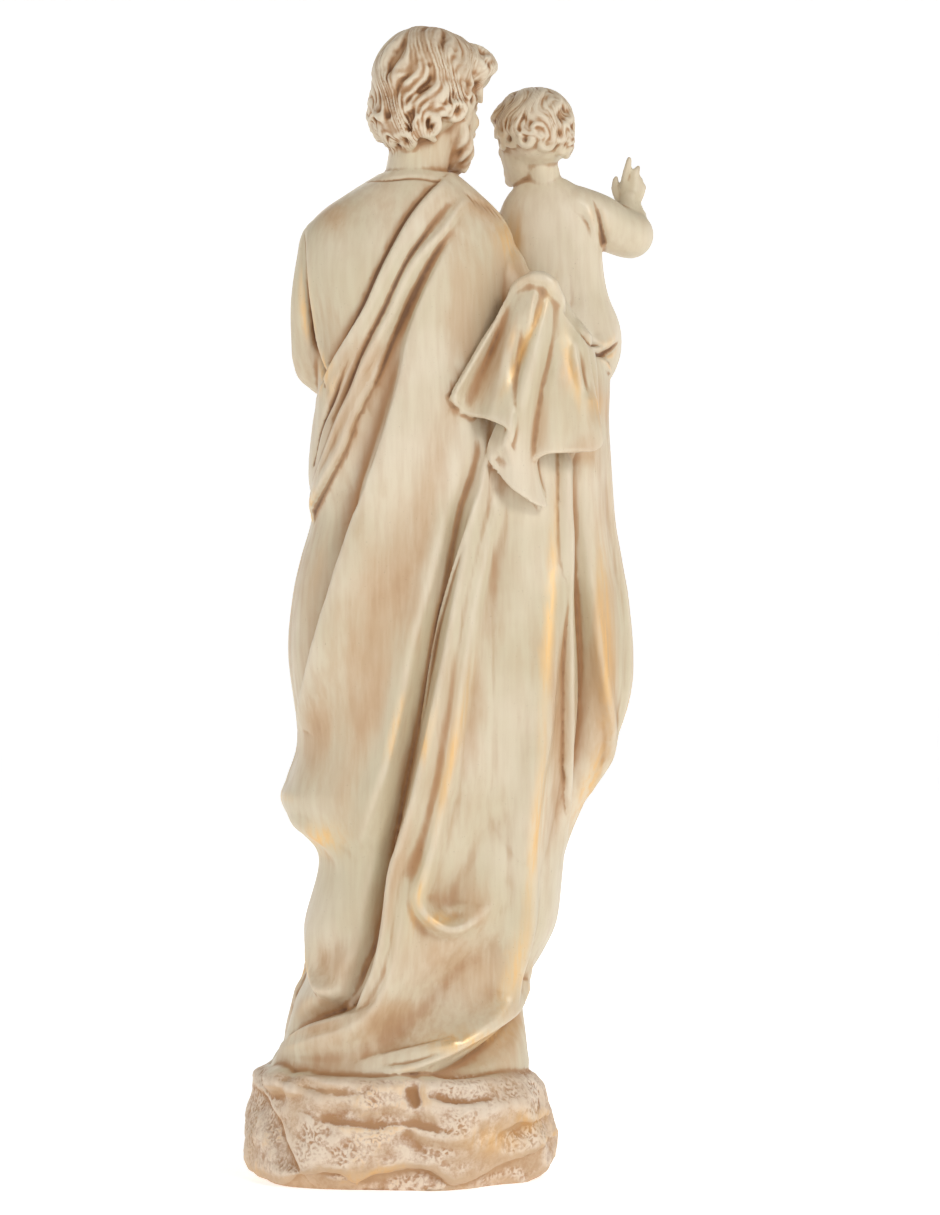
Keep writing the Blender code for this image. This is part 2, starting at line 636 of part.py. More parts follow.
def cloth_end(clay):
    columns = 150
    place = np.linspace(0, len(HEM) - 1, columns)
    gather, hem = smooth_curve(GATHER, columns), smooth_curve(HEM, columns)
    share = np.linspace(0, 1, 48)[:, None]
    depth = 37 + 5 * np.sin(math.pi * place / place[-1]) - 7 * (place / place[-1]) ** 3 + 6 * share
    for middle, width, high, half, low in CLOTH_FOLDS:
        rise = smooth_curve([(0,), (high,), (half,), (0.5 * (half + low),), (low,)], 48)
        depth = depth + rise * np.exp(-(((place - middle) / width) ** 2))
    flat = gather + (hem - gather) * share[:, :, None]
    middle, width, bow = CLOTH_BOW
    flat[:, :, 0] += bow * np.exp(-(((place - middle) / width) ** 2)) * 4 * share**2 * (1 - share)
    face = np.stack([flat[:, :, 0], depth, flat[:, :, 1]], axis=2)
    clay.sheet(face, CLOTH_THICK)
    # The bulk behind its folds, which stops short of the hem.
    clay.loft([(334, -52, -104, 0, 24), (350, -44, -106, 0, 30), (384, -50, -104, 0, 31),
        (402, -58, -96, 0, 28), (414, -62, -86, 2, 28), (421, -67, -80, 8, 22)], around=40)
    # The gather: cloth rolled over the forearm.
    rolled = [(-58, 33, 409), (-63, 38, 417), (-71, 41, 421), (-78, 41, 419), (-83, 38, 412),
        (-85, 32, 404)]
    clay.tube(rolled, [2.6, 4.2, 5.4, 5.6, 4.8, 3], around=16)


# (level, left, right, deep): the rock's reach as shares of its half width and half depth, from below its
# underside at level -1 to just over its top at 0.
ROCK_PROFILE = [
    (-1.06, 0.80, 0.80, 0.84),
    (-1.0, 0.81, 0.82, 0.86),
    (-0.955, 0.86, 0.86, 0.89),
    (-0.83, 0.97, 0.95, 0.95),
    (-0.70, 1.04, 1.005, 1.0),
    (-0.56, 1.05, 0.95, 1.0),
    (-0.32, 1.05, 0.905, 0.97),
    (-0.20, 1.03, 0.885, 0.95),
    (-0.09, 0.985, 0.845, 0.92),
    (0.0, 0.93, 0.80, 0.90),
    (0.06, 0.82, 0.74, 0.84),
]


# (centre, radii) of the lumps of rock that rise against the hem behind.
MOUNDS = (
    ((60, 22, -2), (14, 18, 8)),
    ((44, 36, -3), (18, 13, 8)),
    ((22, 44, -4), (17, 10, 8)),
)


def rock(clay):
    """The rock under the figure, below z = 0 here, with flat cuts that give it its facets."""
    wide, deep, tall = ROCK_WIDTH / MM / 2, ROCK_DEPTH / MM / 2, ROCK_HEIGHT / MM
    angle = np.linspace(0, 2 * math.pi, 140, endpoint=False)
    cos, sin = np.cos(angle), np.sin(angle)
    rng = np.random.default_rng(11)
    cuts = []
    for k in range(26):
        turn = 2 * math.pi * (k + rng.uniform(-0.4, 0.4)) / 13
        way = unit(np.array([math.cos(turn), math.sin(turn), rng.uniform(-0.35, 0.3)]))
        reach = math.hypot(way[0] * wide, way[1] * deep) * rng.uniform(0.91, 1.0)
        cuts.append((way, rng.uniform(-0.8, -0.2) * tall, reach))
    # Smooth slanted facets that undercut its lower edge.
    for k in range(9):
        turn = 2 * math.pi * (k + rng.uniform(-0.3, 0.3)) / 9
        way = unit(np.array([math.cos(turn), math.sin(turn), rng.uniform(-1.1, -0.8)]))
        reach = math.hypot(way[0] * wide, way[1] * deep) * rng.uniform(0.93, 0.99)
        cuts.append((way, -0.86 * tall, reach))
    rings = []
    for level, left, right, back in smooth_curve(ROCK_PROFILE, 44):
        x = np.sign(cos) * np.abs(cos) ** 0.86 * wide * np.where(cos > 0, left, right)
        y = np.sign(sin) * np.abs(sin) ** 0.86 * deep * back
        ring = np.stack([x, y, np.full(len(angle), level * tall)], 1)
        for way, height, reach in cuts:
            beyond = np.maximum((ring - [0, 0, height]) @ way - reach, 0)
            ring[:, :2] -= beyond[:, None] * way[:2] * 0.85
        rings.append(ring)
    clay.stack(rings)
    for centre, radii in MOUNDS:
        clay.blob(centre, radii)


def soft_noise(points, size, seed=1):
    """Gradient noise from about -1 to 1 whose lumps are about size across."""
    slopes = unit(np.random.default_rng(seed).normal(size=(4096, 3)))
    p = np.asarray(points) / size
    cell = np.floor(p).astype(np.int64)
    f = p - cell
    fade = f**3 * (f * (6 * f - 15) + 10)
    total = 0.0
    for corner in np.ndindex(2, 2, 2):
        at = cell + corner
        slope = slopes[(at[:, 0] * 73856093 ^ at[:, 1] * 19349663 ^ at[:, 2] * 83492791) & 4095]
        weight = np.where(corner, fade, 1 - fade).prod(1)
        total = total + ((f - corner) * slope).sum(1) * weight
    return total * 1.7


def roughen_rock(mesh, layers):
    """Breaks the rock's smooth sides with (size, height) layers of noise."""
    co, no = read(mesh), normals(mesh)
    rock_part = np.clip((1.5 - co[:, 2]) / 3, 0, 1)
    for seed, (size, height) in enumerate(layers):
        co += no * (rock_part * height * soft_noise(co, size, seed + 5))[:, None]
    write(mesh, co)


# Folds carved after the skin is drawn, largest first: (side, [(across, z, rise)] downwards, left, right).
LARGE_FOLDS = [
    # The broad panel's left edge, a cliff that sweeps down to the lower left, and the recess beside it.
    ("back", [(-29, 445, 0), (-22, 429, 1.5), (-14, 413, 2.5), (-6, 391, 3.5), (-2, 370, 4.5),
     (6, 338, 6.5), (19, 297, 8), (29, 266, 8), (40, 231, 7), (47, 207, 5), (54, 184, 2)], 2.4, 16),
    ("back", [(-13, 418, 0), (0, 391, -1.5), (6, 367, -3), (15, 338, -4.5), (26, 306, -6),
     (34, 274, -6.5), (44, 242, -5), (50, 215, -2.5), (53, 199, 0)], 9, 4),
    # The deep groove down the middle: its right wall, its floor and the soft ridge on its left.
    ("back", [(-43, 343, 0), (-45, 330, 3), (-42, 311, 4), (-37, 295, 4.5), (-29, 253, 5),
     (-25, 231, 5), (-17, 191, 6), (-8, 151, 7), (2, 115, 7.5), (5, 92, 8), (7, 78, 8), (11, 60, 7),
     (18, 44, 5), (21, 36, 3)], 2.2, 9),
    ("back", [(-42, 338, 0), (-40, 322, -3.5), (-33, 301, -5.5), (-28, 274, -6.5), (-22, 247, -7),
     (-17, 221, -8), (-11, 194, -9), (-5, 167, -10), (0, 140, -10.5), (6, 114, -11), (11, 90, -11),
     (17, 68, -10), (24, 52, -8), (29, 42, -5)], 6, 3.6),
    ("back", [(-42, 338, 0), (-31, 302, 1.6), (-22, 279, 2.2), (-14, 253, 2.8), (-6, 226, 3),
     (-2, 199, 3.2), (5, 170, 3.2), (12, 151, 3), (18, 134, 2), (24, 114, 0)], 7, 4),
    # The ridge that ends in a hanging loop above the ankles, and the hollow inside the loop.
    ("back", [(-53, 311, 0), (-50, 295, 2.8), (-44, 274, 3.4), (-38, 247, 3.8), (-34, 221, 4),
     (-30, 189, 4.4), (-26, 159, 4.8), (-22, 144, 5), (-18, 124, 5.6), (-13, 105, 6.6), (-11, 97, 7),
     (-15, 88, 7), (-23, 82, 6.6), (-30, 81, 5.4), (-37, 84, 3.8), (-45, 90, 2.2), (-52, 97, 0.9),
     (-58, 104, 0)], 4.5, 5),
    ("back", [(-53, 146, 0), (-48, 134, -2), (-41, 121, -3.6), (-33, 107, -4.6), (-28, 96, -4.6),
     (-28, 90, -2)], 9, 10),
    # Soft valley at the top of the panel, between the middle and the right.
    ("back", [(-53, 322, -1.5), (-52, 301, -2.5), (-50, 278, -2), (-48, 253, -1),
     (-48, 231, 0)], 8, 10),
    # The right-hand ridge that sweeps down and to the left into the train, and the panel's edge on its right.
    ("back", [(-89, 322, 1), (-85, 285, 2.5), (-81, 253, 4), (-77, 207, 5), (-74, 176, 5.6),
     (-70, 158, 6), (-67, 124, 6.6), (-67, 103, 7), (-66, 85, 7.5), (-62, 68, 8), (-58, 56, 8.5),
     (-54, 42, 8.5), (-45, 30, 8), (-30, 20, 7), (-16, 12, 5), (0, 8, 3)], 8, 6),
    ("back", [(-89, 326, 3), (-89, 306, 5), (-90, 285, 6), (-90, 253, 7), (-91, 216, 7.5),
     (-90, 176, 7), (-88, 146, 5), (-87, 127, 2)], 9, 1.8),
    # The recess right of the panel, and the strip at the silhouette beyond it.
    ("back", [(-94, 326, -3), (-95, 295, -5.5), (-96, 253, -8), (-98, 216, -9), (-98, 189, -8.5),
     (-95, 162, -6.5), (-91, 135, -3), (-89, 124, 0)], 3, 8),
    ("back", [(-98, 322, 0), (-99, 285, 1.6), (-101, 253, 3.2), (-105, 220, 4.4), (-109, 198, 4.6),
     (-111, 182, 4), (-109, 167, 3), (-106, 151, 1.5)], 3, 6),
    # The train's edge over the tunic's hem at the lower right, and the recess under it.
    ("back", [(-70, 63, 0), (-68, 51, 3), (-63, 43, 5), (-57, 34, 7), (-45, 25, 8), (-32, 17, 7.5),
     (-19, 10, 5.5), (-5, 6, 3.5), (9, 4, 1.5)], 9, 2),
    ("back", [(-75, 47, -2), (-68, 38, -5), (-60, 27, -7), (-49, 19, -8), (-37, 12, -6.5),
     (-27, 8, -3.5), (-17, 5, 0)], 3, 7),
    # The wide bowl between the train's crests, and the left crest, which spreads to the corner.
    ("back", [(-54, 81, 0), (-46, 68, -4.5), (-35, 58, -7.5), (-22, 45, -9), (-9, 34, -8),
     (3, 25, -5.5), (13, 19, -2)], 12, 12),
    ("back", [(-4, 103, 3), (0, 76, 4), (4, 55, 5), (12, 37, 6), (26, 26, 6.5), (42, 20, 6),
     (52, 15, 4.5), (61, 12, 2)], 5, 8),
    ("back", [(15, 39, 2), (21, 36, 4), (32, 32, 5), (44, 28, 5), (53, 22, 4), (60, 17, 2)], 1.8, 7),
    # The flap of the mantle's corner over the ankle, and the dark gap under it.
    ("back", [(15, 55, 0), (21, 46, -6), (28, 41, -9.5), (36, 38, -10.5), (44, 35, -9), (52, 29, -5.5),
     (57, 23, -2)], 5, 4),
    ("back", [(49, 76, 1), (48, 66, 3), (45, 53, 5), (41, 44, 6), (36, 41, 5.5), (29, 45, 3.5),
     (22, 53, 1.5), (17, 62, 0)], 1.8, 8),
    ("back", [(11, 92, 0), (21, 81, -2.2), (31, 72, -2.6), (41, 63, -2), (47, 54, 0)], 9, 8),
    ("back", [(60, 136, 1), (51, 134, 3), (40, 127, 3), (29, 115, 1.5), (23, 102, 0)], 6, 5),
]
BACK_FOLDS = [
    # The mantle's edge from the neck to the left hip, with the tunic sunk beside it.
    ("back", [(-24, 475, 0.8), (-22, 472, 2.2), (-15, 465, 3), (-6, 453, 3.4), (2, 438, 3.6),
     (9, 424, 3.8), (16, 408, 4), (24, 394, 4), (33, 379, 3.6), (40, 366, 2.4)], 1.3, 10),
    ("back", [(-19, 472, -0.5), (-11, 462, -1), (-2, 450, -1.5), (6, 436, -1.8), (13, 421, -2),
     (20, 406, -2.2), (28, 391, -2), (36, 379, -1)], 5, 1.2),
    # The bundle of folds under that edge, down to its point at the hip.
    ("back", [(19, 403, -1), (24, 385, -2.4), (30, 371, -2.8), (35, 359, -2.8), (42, 344, -2.4),
     (46, 325, -1.5)], 1.3, 1.7),
    ("back", [(-37, 466, 0), (-32, 461, 1.4), (-22, 446, 2.4), (-11, 434, 2.8), (-3, 421, 3),
     (5, 402, 3.4), (17, 379, 3.8), (23, 363, 3.8), (30, 349, 3.6), (37, 332, 3), (43, 317, 2),
     (46, 306, 1)], 2.6, 3.2),
    ("back", [(-25, 461, -0.6), (-16, 449, -1.8), (-6, 434, -2.4), (2, 417, -2.6), (12, 397, -2.8),
     (20, 380, -2.6), (28, 364, -2.2), (35, 349, -1)], 2.2, 2.2),
    ("back", [(-28, 449, 0), (-18, 433, -1.8), (-9, 416, -2.4), (-1, 399, -2.6), (6, 382, -2),
     (12, 368, -1)], 2.4, 3),
    ("back", [(6, 389, 0), (11, 374, 1.6), (16, 365, 2.4), (24, 349, 3.4), (29, 334, 4),
     (37, 318, 4.6), (43, 306, 4.4), (46, 299, 2.4)], 5, 1.7),
    # The thin ridge inside the middle groove.
    ("back", [(-42, 311, 0), (-33, 280, 1.8), (-26, 257, 2), (-19, 231, 1.8), (-15, 205, 1.2),
     (-11, 183, 0)], 1.1, 1.1),
    # Hem folds at the bottom of the train.
    ("back", [(-28, 22, 1.5), (-16, 19, 2.2), (-4, 16, 2.4), (8, 13, 2), (18, 10, 1)], 2.4, 4),
    ("back", [(-26, 18, 0), (-13, 14, -1.4), (0, 11, -1.4), (11, 9, 0)], 2.2, 2.2),
    # Where the sleeve meets the back.
    ("back", [(51, 453, 0), (51, 445, -1), (50, 429, -2.4), (48, 410, -3.4), (45, 391, -4),
     (41, 377, -4), (38, 368, -3)], 3, 1.3),
    ("back", [(49, 447, 0), (48, 429, 1), (46, 410, 1.5), (43, 391, 1.6), (39, 377, 1.2)], 1.3, 4),
    # The neckline.
    ("back", [(17, 475, -0.5), (5, 475, -1.1), (-8, 476, -1.1), (-22, 474, -0.5)], 1.1, 1.1),
    # The hanging cloth's dimple.
    ("back", [(-93, 391, 0), (-93, 381, 1.6), (-95, 370, 1.6), (-98, 360, 0)], 2.4, 2),
    ("back", [(-96, 386, 0), (-98, 376, -1.8), (-99, 367, -1.8), (-101, 358, 0)], 3, 3.4),
    # The child's tunic ends in a rounded edge over the mantle.
    ("back", [(-94, 398, 0), (-101, 387, -2.6), (-108, 384, -3), (-114, 387, -2.4),
     (-119, 394, 0)], 1.8, 1.8),
    ("back", [(-100, 393, 1), (-108, 389, 1.8), (-114, 393, 1)], 2, 4),
    ("back", [(-104, 383, 0), (-109, 379, 1.6), (-113, 375, 1.4), (-113, 369, 0)], 2.6, 2.6),
]
# Breaks in the rock behind.
ROCK_BREAKS = [
    # The ledge half way down the rock, its hollow, and a second ledge on the right.
    ("back", [(44, -17, -1), (29, -19, -2.5), (15, -21, -3), (1, -20, -3), (-13, -21, -2.6),
     (-26, -24, -1.5), (-37, -23, 0)], 1.6, 10),
    ("back", [(1, -23, -1), (-4, -26, -3), (-11, -32, -2.4), (-15, -36, -1)], 4, 5),
    ("back", [(-53, -28, -1), (-59, -26, -3), (-67, -24, -3.4), (-78, -22, -2)], 9, 1.4),
    # The smooth slanted facets that undercut its lower edge.
    ("back", [(53, -51, -2), (46, -48, -4.5), (29, -47, -4.5), (24, -52, -4), (17, -51, -4.5),
     (10, -48, -5), (-11, -45, -5.5), (-20, -49, -5), (-29, -54, -3.5), (-40, -52, -3),
     (-53, -48, -3.5), (-69, -41, -3), (-81, -35, -1)], 15, 1.5),
    # The hollow facet at its left end.
    ("back", [(84, -6, -1), (77, -9, -3), (70, -14, -4.6), (65, -22, -5), (61, -30, -4.8),
     (57, -40, -4), (52, -48, -2)], 11, 1.5),
    # The cleft in its top edge, and the recesses along the hem.
    ("back", [(-9, 3, -1), (-7, -3, -4.5), (-9, -7, -4.5), (-11, -11, -1)], 4.5, 3.5),
    ("back", [(-16, -5, -1), (-25, -7, -2.8), (-35, -9, -2.8), (-49, -7, -1)], 1.5, 4),
    ("back", [(63, 1, -1), (48, -3, -2.4), (32, -4, -2.4), (18, -3, -1)], 1.6, 4),
    # A break down its right end.
    ("back", [(-73, -5, -1), (-75, -13, -2.4), (-74, -23, -1)], 5, 1.6),
]


def crinkles():
    """Fine creases where the mantle is drawn over the right shoulder."""
    folds = []
    for k in range(5):
        x, z = -38 - 3.4 * k, 466 - 1.8 * k
        folds.append(("back", [(x + 4, z + 4, 0), (x, z, -1), (x - 4, z - 6, 0)], 1.3, 1.3))
    return folds


def front_folds():
    """The plainer front: a tunic with soft folds to the waist, and the mantle drawn across from the hip."""
    folds = [
        ("front", [(-40, 448, 0), (-22, 452, 2.4), (-6, 449, 2.8), (12, 452, 2.4), (28, 460, 0)], 2.2,
            2.2),
        ("front", [(36, 334, 0), (22, 336, 4), (-8, 342, 5), (-34, 352, 5), (-62, 366, 4)], 7, 2),
    ]
    for k in range(7):
        x = -38 + 13 * k
        lean = 0.35 * (x - 2)
        folds.append(("front", [(x * 0.55, 440, 0), (x * 0.8 + lean * 0.1, 410, 1.5),
            (x + lean * 0.2, 380, 2.4), (x + lean * 0.3, 350, 1)], 3, 4))
    for k in range(5):
        drop = 18 + 26 * k
        folds.append(("front", [(-58 - 2 * k, 352 - 10 * k, 0), (-40, 338 - drop * 0.8, 3.4),
            (-6, 322 - drop, 4.2), (26, 322 - drop * 0.9, 3.4), (50, 330 - drop * 0.7, 0)], 7, 4))
    for k in range(5):
        x = -36 + 18 * k
        folds.append(("front", [(x * 0.7 - 16, 236 - 8 * k, 0), (x * 0.85 - 6, 180, 3.6),
            (x + 2, 120, 4.6), (x + 6, 66, 4)], 7, 4.4))
    # The mantle's hem across the shins, and the tunic's folds below it.
    folds.append(("front", [(-74, 84, 2), (-40, 62, 3.6), (0, 56, 4), (36, 62, 4), (60, 44, 3)], 8, 1.8))
    for k in range(9):
        x = -56 + 14 * k
        folds.append(("front", [(x * 0.94, 54, 0), (x, 30, 3.4), (x * 1.05, 4, 4.5), (x * 1.08, -8, 3)],
            3.6, 2.4))
    return folds


def side_folds():
    """Folds on the left side and down the mantle under the child, fading before they reach the back."""
    folds = []
    for k in range(3):
        y = -34 + 16 * k
        folds.append(("left", [(y * 0.5, 318, 0), (y * 0.8, 270, 1.6), (y, 210, 2.2), (y * 1.1, 160, 2),
            (y, 128, 0)], 5, 4))
    for k in range(2):
        y = -30 + 17 * k
        folds.append(("left", [(y * 0.8, 118, 0), (y, 80, 3), (y * 1.1, 34, 4), (y * 1.1, 4, 3)], 4, 3))
        folds.append(("right", [(-38 + 18 * k, 96, 0), (-40 + 18 * k, 50, 3.4), (-42 + 19 * k, 4, 4)], 4,
            3))
    for k in range(4):
        y = -48 + 14 * k
        folds.append(("right", [(y * 0.9, 352, 0), (y, 300, 3), (y * 0.9, 240, 3.6), (y * 0.7, 190, 3),
            (y * 0.5, 150, 0)], 4.4, 3.4))
    return folds


def child_folds():
    folds = []
    for k in range(4):
        x = -66 - 9 * k
        folds.append(("back", [(x * 0.3 - 54, 462, 0), (x * 0.8 - 17, 432, -1.2), (x, 404, -1.2),
            (x, 388, 0)], 4.5, 4.5))
        folds.append(("front", [(x * 0.5 - 40, 458, 0), (x * 0.9 - 8, 430, 1.5), (x, 404, 2),
            (x, 388, 0)], 2.4, 2.4))
    # The sleeve's seam.
    folds.append(("back", [(-102, 471, 0), (-106, 463, -1.4), (-108, 453, -2), (-110, 445, -1.4)], 2, 2))
    folds.append(("back", [(-99, 466, 0), (-103, 455, 1.4), (-105, 446, 1)], 2, 2.4))
    return folds


def reskinned(mesh, voxel, smooth):
    """A new even skin over the mesh."""
    mesh = modified(mesh, "REMESH", mode="VOXEL", voxel_size=voxel / MM, use_smooth_shade=True)
    return modified(mesh, "SMOOTH", factor=0.5, iterations=smooth)


def statue_mesh(voxel):
    clay = Clay()
    saint_body(clay)
    child_body(clay)
    cloth_end(clay)
    heads(clay)
    limbs(clay)
    rock(clay)
    mesh = reskinned(clay.mesh("skin"), voxel, smooth=2)
    carve(mesh, LARGE_FOLDS)
    mesh = reskinned(mesh, voxel, smooth=2)
    carve(mesh, BACK_FOLDS + ROCK_BREAKS + crinkles() + front_folds() + side_folds() + child_folds())
    roughen_rock(mesh, ((30, 2.8), (12, 1.1)))
    return mesh


def triangle_count(mesh):
    mesh.calc_loop_triangles()
    return len(mesh.loop_triangles)


def painted_resin():
    """Cast resin under an ivory paint with a satin sheen."""
    material = bpy.data.materials.new("painted_resin")
    material.use_nodes = True
    shader = material.node_tree.nodes["Principled BSDF"]
    shader.inputs["Base Color"].default_value = (0.60, 0.52, 0.37, 1)
    shader.inputs["Roughness"].default_value = 0.48
    shader.inputs["Metallic"].default_value = 0.0
    return material


def to_metres(mesh):
    """From the figure's millimetres above the rock to metres above the rock's underside, cut flat there."""
    mesh.transform(Matrix.Translation((0, 0, ROCK_HEIGHT)) @ Matrix.Scale(MM, 4))
    cut = bmesh.new()
    cut.from_mesh(mesh)
    geometry = cut.verts[:] + cut.edges[:] + cut.faces[:]
    bmesh.ops.bisect_plane(cut, geom=geometry, plane_co=(0, 0, 0), plane_no=(0, 0, -1), clear_outer=True)
    rim = [e for e in cut.edges if e.is_boundary]
    bmesh.ops.contextual_create(cut, geom=rim)
    bmesh.ops.triangulate(cut, faces=[f for f in cut.faces if len(f.verts) > 4])
    cut.to_mesh(mesh)
    cut.free()


def build():
    for obj in list(bpy.data.objects):
        bpy.data.objects.remove(obj)
    mesh = statue_mesh(FIGURE_HEIGHT / SKIN_CELLS)
    mesh = modified(mesh, "DECIMATE", ratio=TRIANGLES / triangle_count(mesh),
        use_collapse_triangulate=True)
    to_metres(mesh)
    statue = bpy.data.objects.new("saint_and_child", mesh)
    bpy.context.scene.collection.objects.link(statue)
    mesh.name = "saint_and_child"
    mesh.materials.clear()
    mesh.materials.append(painted_resin())
    mesh.shade_smooth()


build()
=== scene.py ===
"""The statue's looks: a fine mesh with its carving and paint, a pale floor, soft light and the camera."""

import math

import bmesh
import bpy
import numpy as np
from mathutils import Euler, Matrix, Vector
from mathutils.bvhtree import BVHTree


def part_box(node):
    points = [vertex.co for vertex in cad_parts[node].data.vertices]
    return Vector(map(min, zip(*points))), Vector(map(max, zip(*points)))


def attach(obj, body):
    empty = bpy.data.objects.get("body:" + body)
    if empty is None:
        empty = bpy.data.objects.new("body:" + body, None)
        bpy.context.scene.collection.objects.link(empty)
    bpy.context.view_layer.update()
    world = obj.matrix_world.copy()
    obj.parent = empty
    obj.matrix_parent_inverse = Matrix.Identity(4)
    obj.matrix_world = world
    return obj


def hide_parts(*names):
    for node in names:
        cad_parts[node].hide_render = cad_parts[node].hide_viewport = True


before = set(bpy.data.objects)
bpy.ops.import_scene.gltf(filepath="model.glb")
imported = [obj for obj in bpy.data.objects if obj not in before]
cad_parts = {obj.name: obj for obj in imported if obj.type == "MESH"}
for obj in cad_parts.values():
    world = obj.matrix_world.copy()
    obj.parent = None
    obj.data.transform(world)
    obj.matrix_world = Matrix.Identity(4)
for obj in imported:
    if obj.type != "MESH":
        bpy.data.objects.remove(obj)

# Driving dimensions, in metres
FIGURE_HEIGHT = 0.555  # top of the rock to the top of the hair
ROCK_WIDTH = 0.174
ROCK_DEPTH = 0.138
ROCK_HEIGHT = 0.056

FIGURE_MM = 555.0  # the figure's height in its own coordinates
MM = FIGURE_HEIGHT / FIGURE_MM


# Helpers
def smooth_curve(points, count):
    """count samples of a Catmull-Rom curve through the points, of any dimension."""
    p = np.asarray(points, float)
    ends = np.vstack([2 * p[0] - p[1], p, 2 * p[-1] - p[-2]])
    t = np.linspace(0, len(p) - 1, count)
    i = np.minimum(t.astype(int), len(p) - 2)
    f = (t - i)[:, None]
    a, b, c, d = ends[i], ends[i + 1], ends[i + 2], ends[i + 3]
    return 0.5 * (2 * b + (c - a) * f + (2 * a - 5 * b + 4 * c - d) * f**2 + (3 * b - a - 3 * c + d) * f**3)


def unit(v):
    return v / np.maximum(np.linalg.norm(v, axis=-1, keepdims=True), 1e-9)


def circle(count):
    """The cosines and sines of a ring of directions."""
    angle = np.linspace(0, 2 * math.pi, count, endpoint=False)
    return np.cos(angle), np.sin(angle)


class Clay:
    """Closed shapes that overlap, gathered until one skin is drawn over them."""

    def __init__(self):
        self.points = []
        self.faces = []
        self.count = 0

    def stack(self, rings):
        """A closed shape from a stack of rings that have the same number of points."""
        rings = np.asarray(rings, float)
        rows, around = rings.shape[:2]
        start = self.count
        self.points.append(rings.reshape(-1, 3))
        self.count += rows * around
        for j in range(rows - 1):
            for i in range(around):
                k = (i + 1) % around
                low = start + j * around
                self.faces.append((low + i, low + k, low + around + k, low + around + i))
        self.faces.append(tuple(start + i for i in reversed(range(around))))
        self.faces.append(tuple(start + (rows - 1) * around + i for i in range(around)))

    def loft(self, sections, around=72, step=4.0, power=2.0):
        """Draped mass from (z, left, right, front, back) sections: extents along +X, -X, -Y and +Y."""
        s = np.array(sorted(sections), float)
        rows = smooth_curve(s, max(6, int((s[-1, 0] - s[0, 0]) / step)))
        cos, sin = circle(around)
        cos = np.sign(cos) * np.abs(cos) ** (2 / power)
        sin = np.sign(sin) * np.abs(sin) ** (2 / power)
        rings = []
        for z, left, right, front, back in rows:
            cx, cy = (left + right) / 2, (front + back) / 2
            x = cx + cos * (left - right) / 2
            y = cy + sin * (back - front) / 2
            rings.append(np.stack([x, y, np.full(around, z)], 1))
        self.stack(rings)

    def tube(self, path, radii, around=20, flat=1.0, up=(0, 0, 1), step=2.0):
        """A round-ended tube along a curve. flat below 1 thins it along the direction nearest to up."""
        path, up = np.asarray(path, float), np.asarray(up, float)
        length = np.linalg.norm(np.diff(path, axis=0), axis=1).sum()
        count = max(8, int(length / step))
        line = smooth_curve(path, count)
        size = smooth_curve(np.asarray(radii, float)[:, None] * np.ones((1, 1)), count)[:, 0]
        along = unit(np.gradient(line, axis=0))
        up = unit(up - (along @ up)[:, None] * along)
        side = np.cross(along, up)
        cos, sin = (part[:, None] for part in circle(around))
        rings = []

        def ring(k, share, push):
            r = size[k] * share
            rings.append(line[k] + along[k] * push + (side[k] * cos + up[k] * flat * sin) * r)

        for a in (80, 60, 40, 20):
            ring(0, math.cos(math.radians(a)), -size[0] * flat * math.sin(math.radians(a)))
        for k in range(count):
            ring(k, 1, 0)
        for a in (20, 40, 60, 80):
            ring(-1, math.cos(math.radians(a)), size[-1] * flat * math.sin(math.radians(a)))
        self.stack(rings)

    def blob(self, centre, radii, turn=(0, 0, 0), around=28):
        """An ellipsoid, turned by Euler angles in degrees."""
        turned = np.array(Euler([math.radians(a) for a in turn]).to_matrix())
        cos, sin = circle(around)
        rings = []
        for lat in np.radians(np.linspace(-86, 86, around // 2)):
            ring = np.stack([cos * math.cos(lat), sin * math.cos(lat), np.full(around, math.sin(lat))], 1)
            rings.append((ring * np.asarray(radii, float)) @ turned.T + np.asarray(centre, float))
        self.stack(rings)

    def sheet(self, face, thick):
        """A cloth of one thickness on both sides of a grid of points (down, across)."""
        out = unit(np.cross(np.gradient(face, axis=1), np.gradient(face, axis=0)))
        self.stack(np.concatenate([face + out * thick / 2, (face - out * thick / 2)[:, ::-1]], axis=1))

    def add(self, other, place):
        """Another lump of clay, carried to its place by a function of its points."""
        for points in other.points:
            self.points.append(place(points))
        self.faces += [tuple(self.count + i for i in face) for face in other.faces]
        self.count += other.count

    def mesh(self, name):
        mesh = bpy.data.meshes.new(name)
        mesh.from_pydata(np.vstack(self.points).tolist(), [], self.faces)
        return mesh


def modified(mesh, kind, **settings):
    """The mesh after one modifier."""
    obj = bpy.data.objects.new("working", mesh)
    bpy.context.scene.collection.objects.link(obj)
    modifier = obj.modifiers.new("step", kind)
    for key, value in settings.items():
        setattr(modifier, key, value)
    bpy.context.view_layer.update()
    graph = bpy.context.evaluated_depsgraph_get()
    made = bpy.data.meshes.new_from_object(obj.evaluated_get(graph))
    bpy.data.objects.remove(obj)
    bpy.data.meshes.remove(mesh)
    return made


def table_of(items, name, columns, kind):
    """One property of all vertices, edges or triangles of a mesh, a row for each."""
    values = np.empty(len(items) * columns, kind)
    items.foreach_get(name, values)
    return values.reshape(-1, columns)


def read(mesh):
    return table_of(mesh.vertices, "co", 3, np.float32).astype(float)


def normals(mesh):
    return table_of(mesh.vertices, "normal", 3, np.float32).astype(float)


def write(mesh, co):
    mesh.vertices.foreach_set("co", co.astype(np.float32).ravel())
    mesh.update()


def surface_tree(mesh):
    """A tree to find points on the mesh's surface with."""
    mesh.calc_loop_triangles()
    triangles = table_of(mesh.loop_triangles, "vertices", 3, np.int32)
    return BVHTree.FromPolygons(read(mesh).tolist(), triangles.tolist())


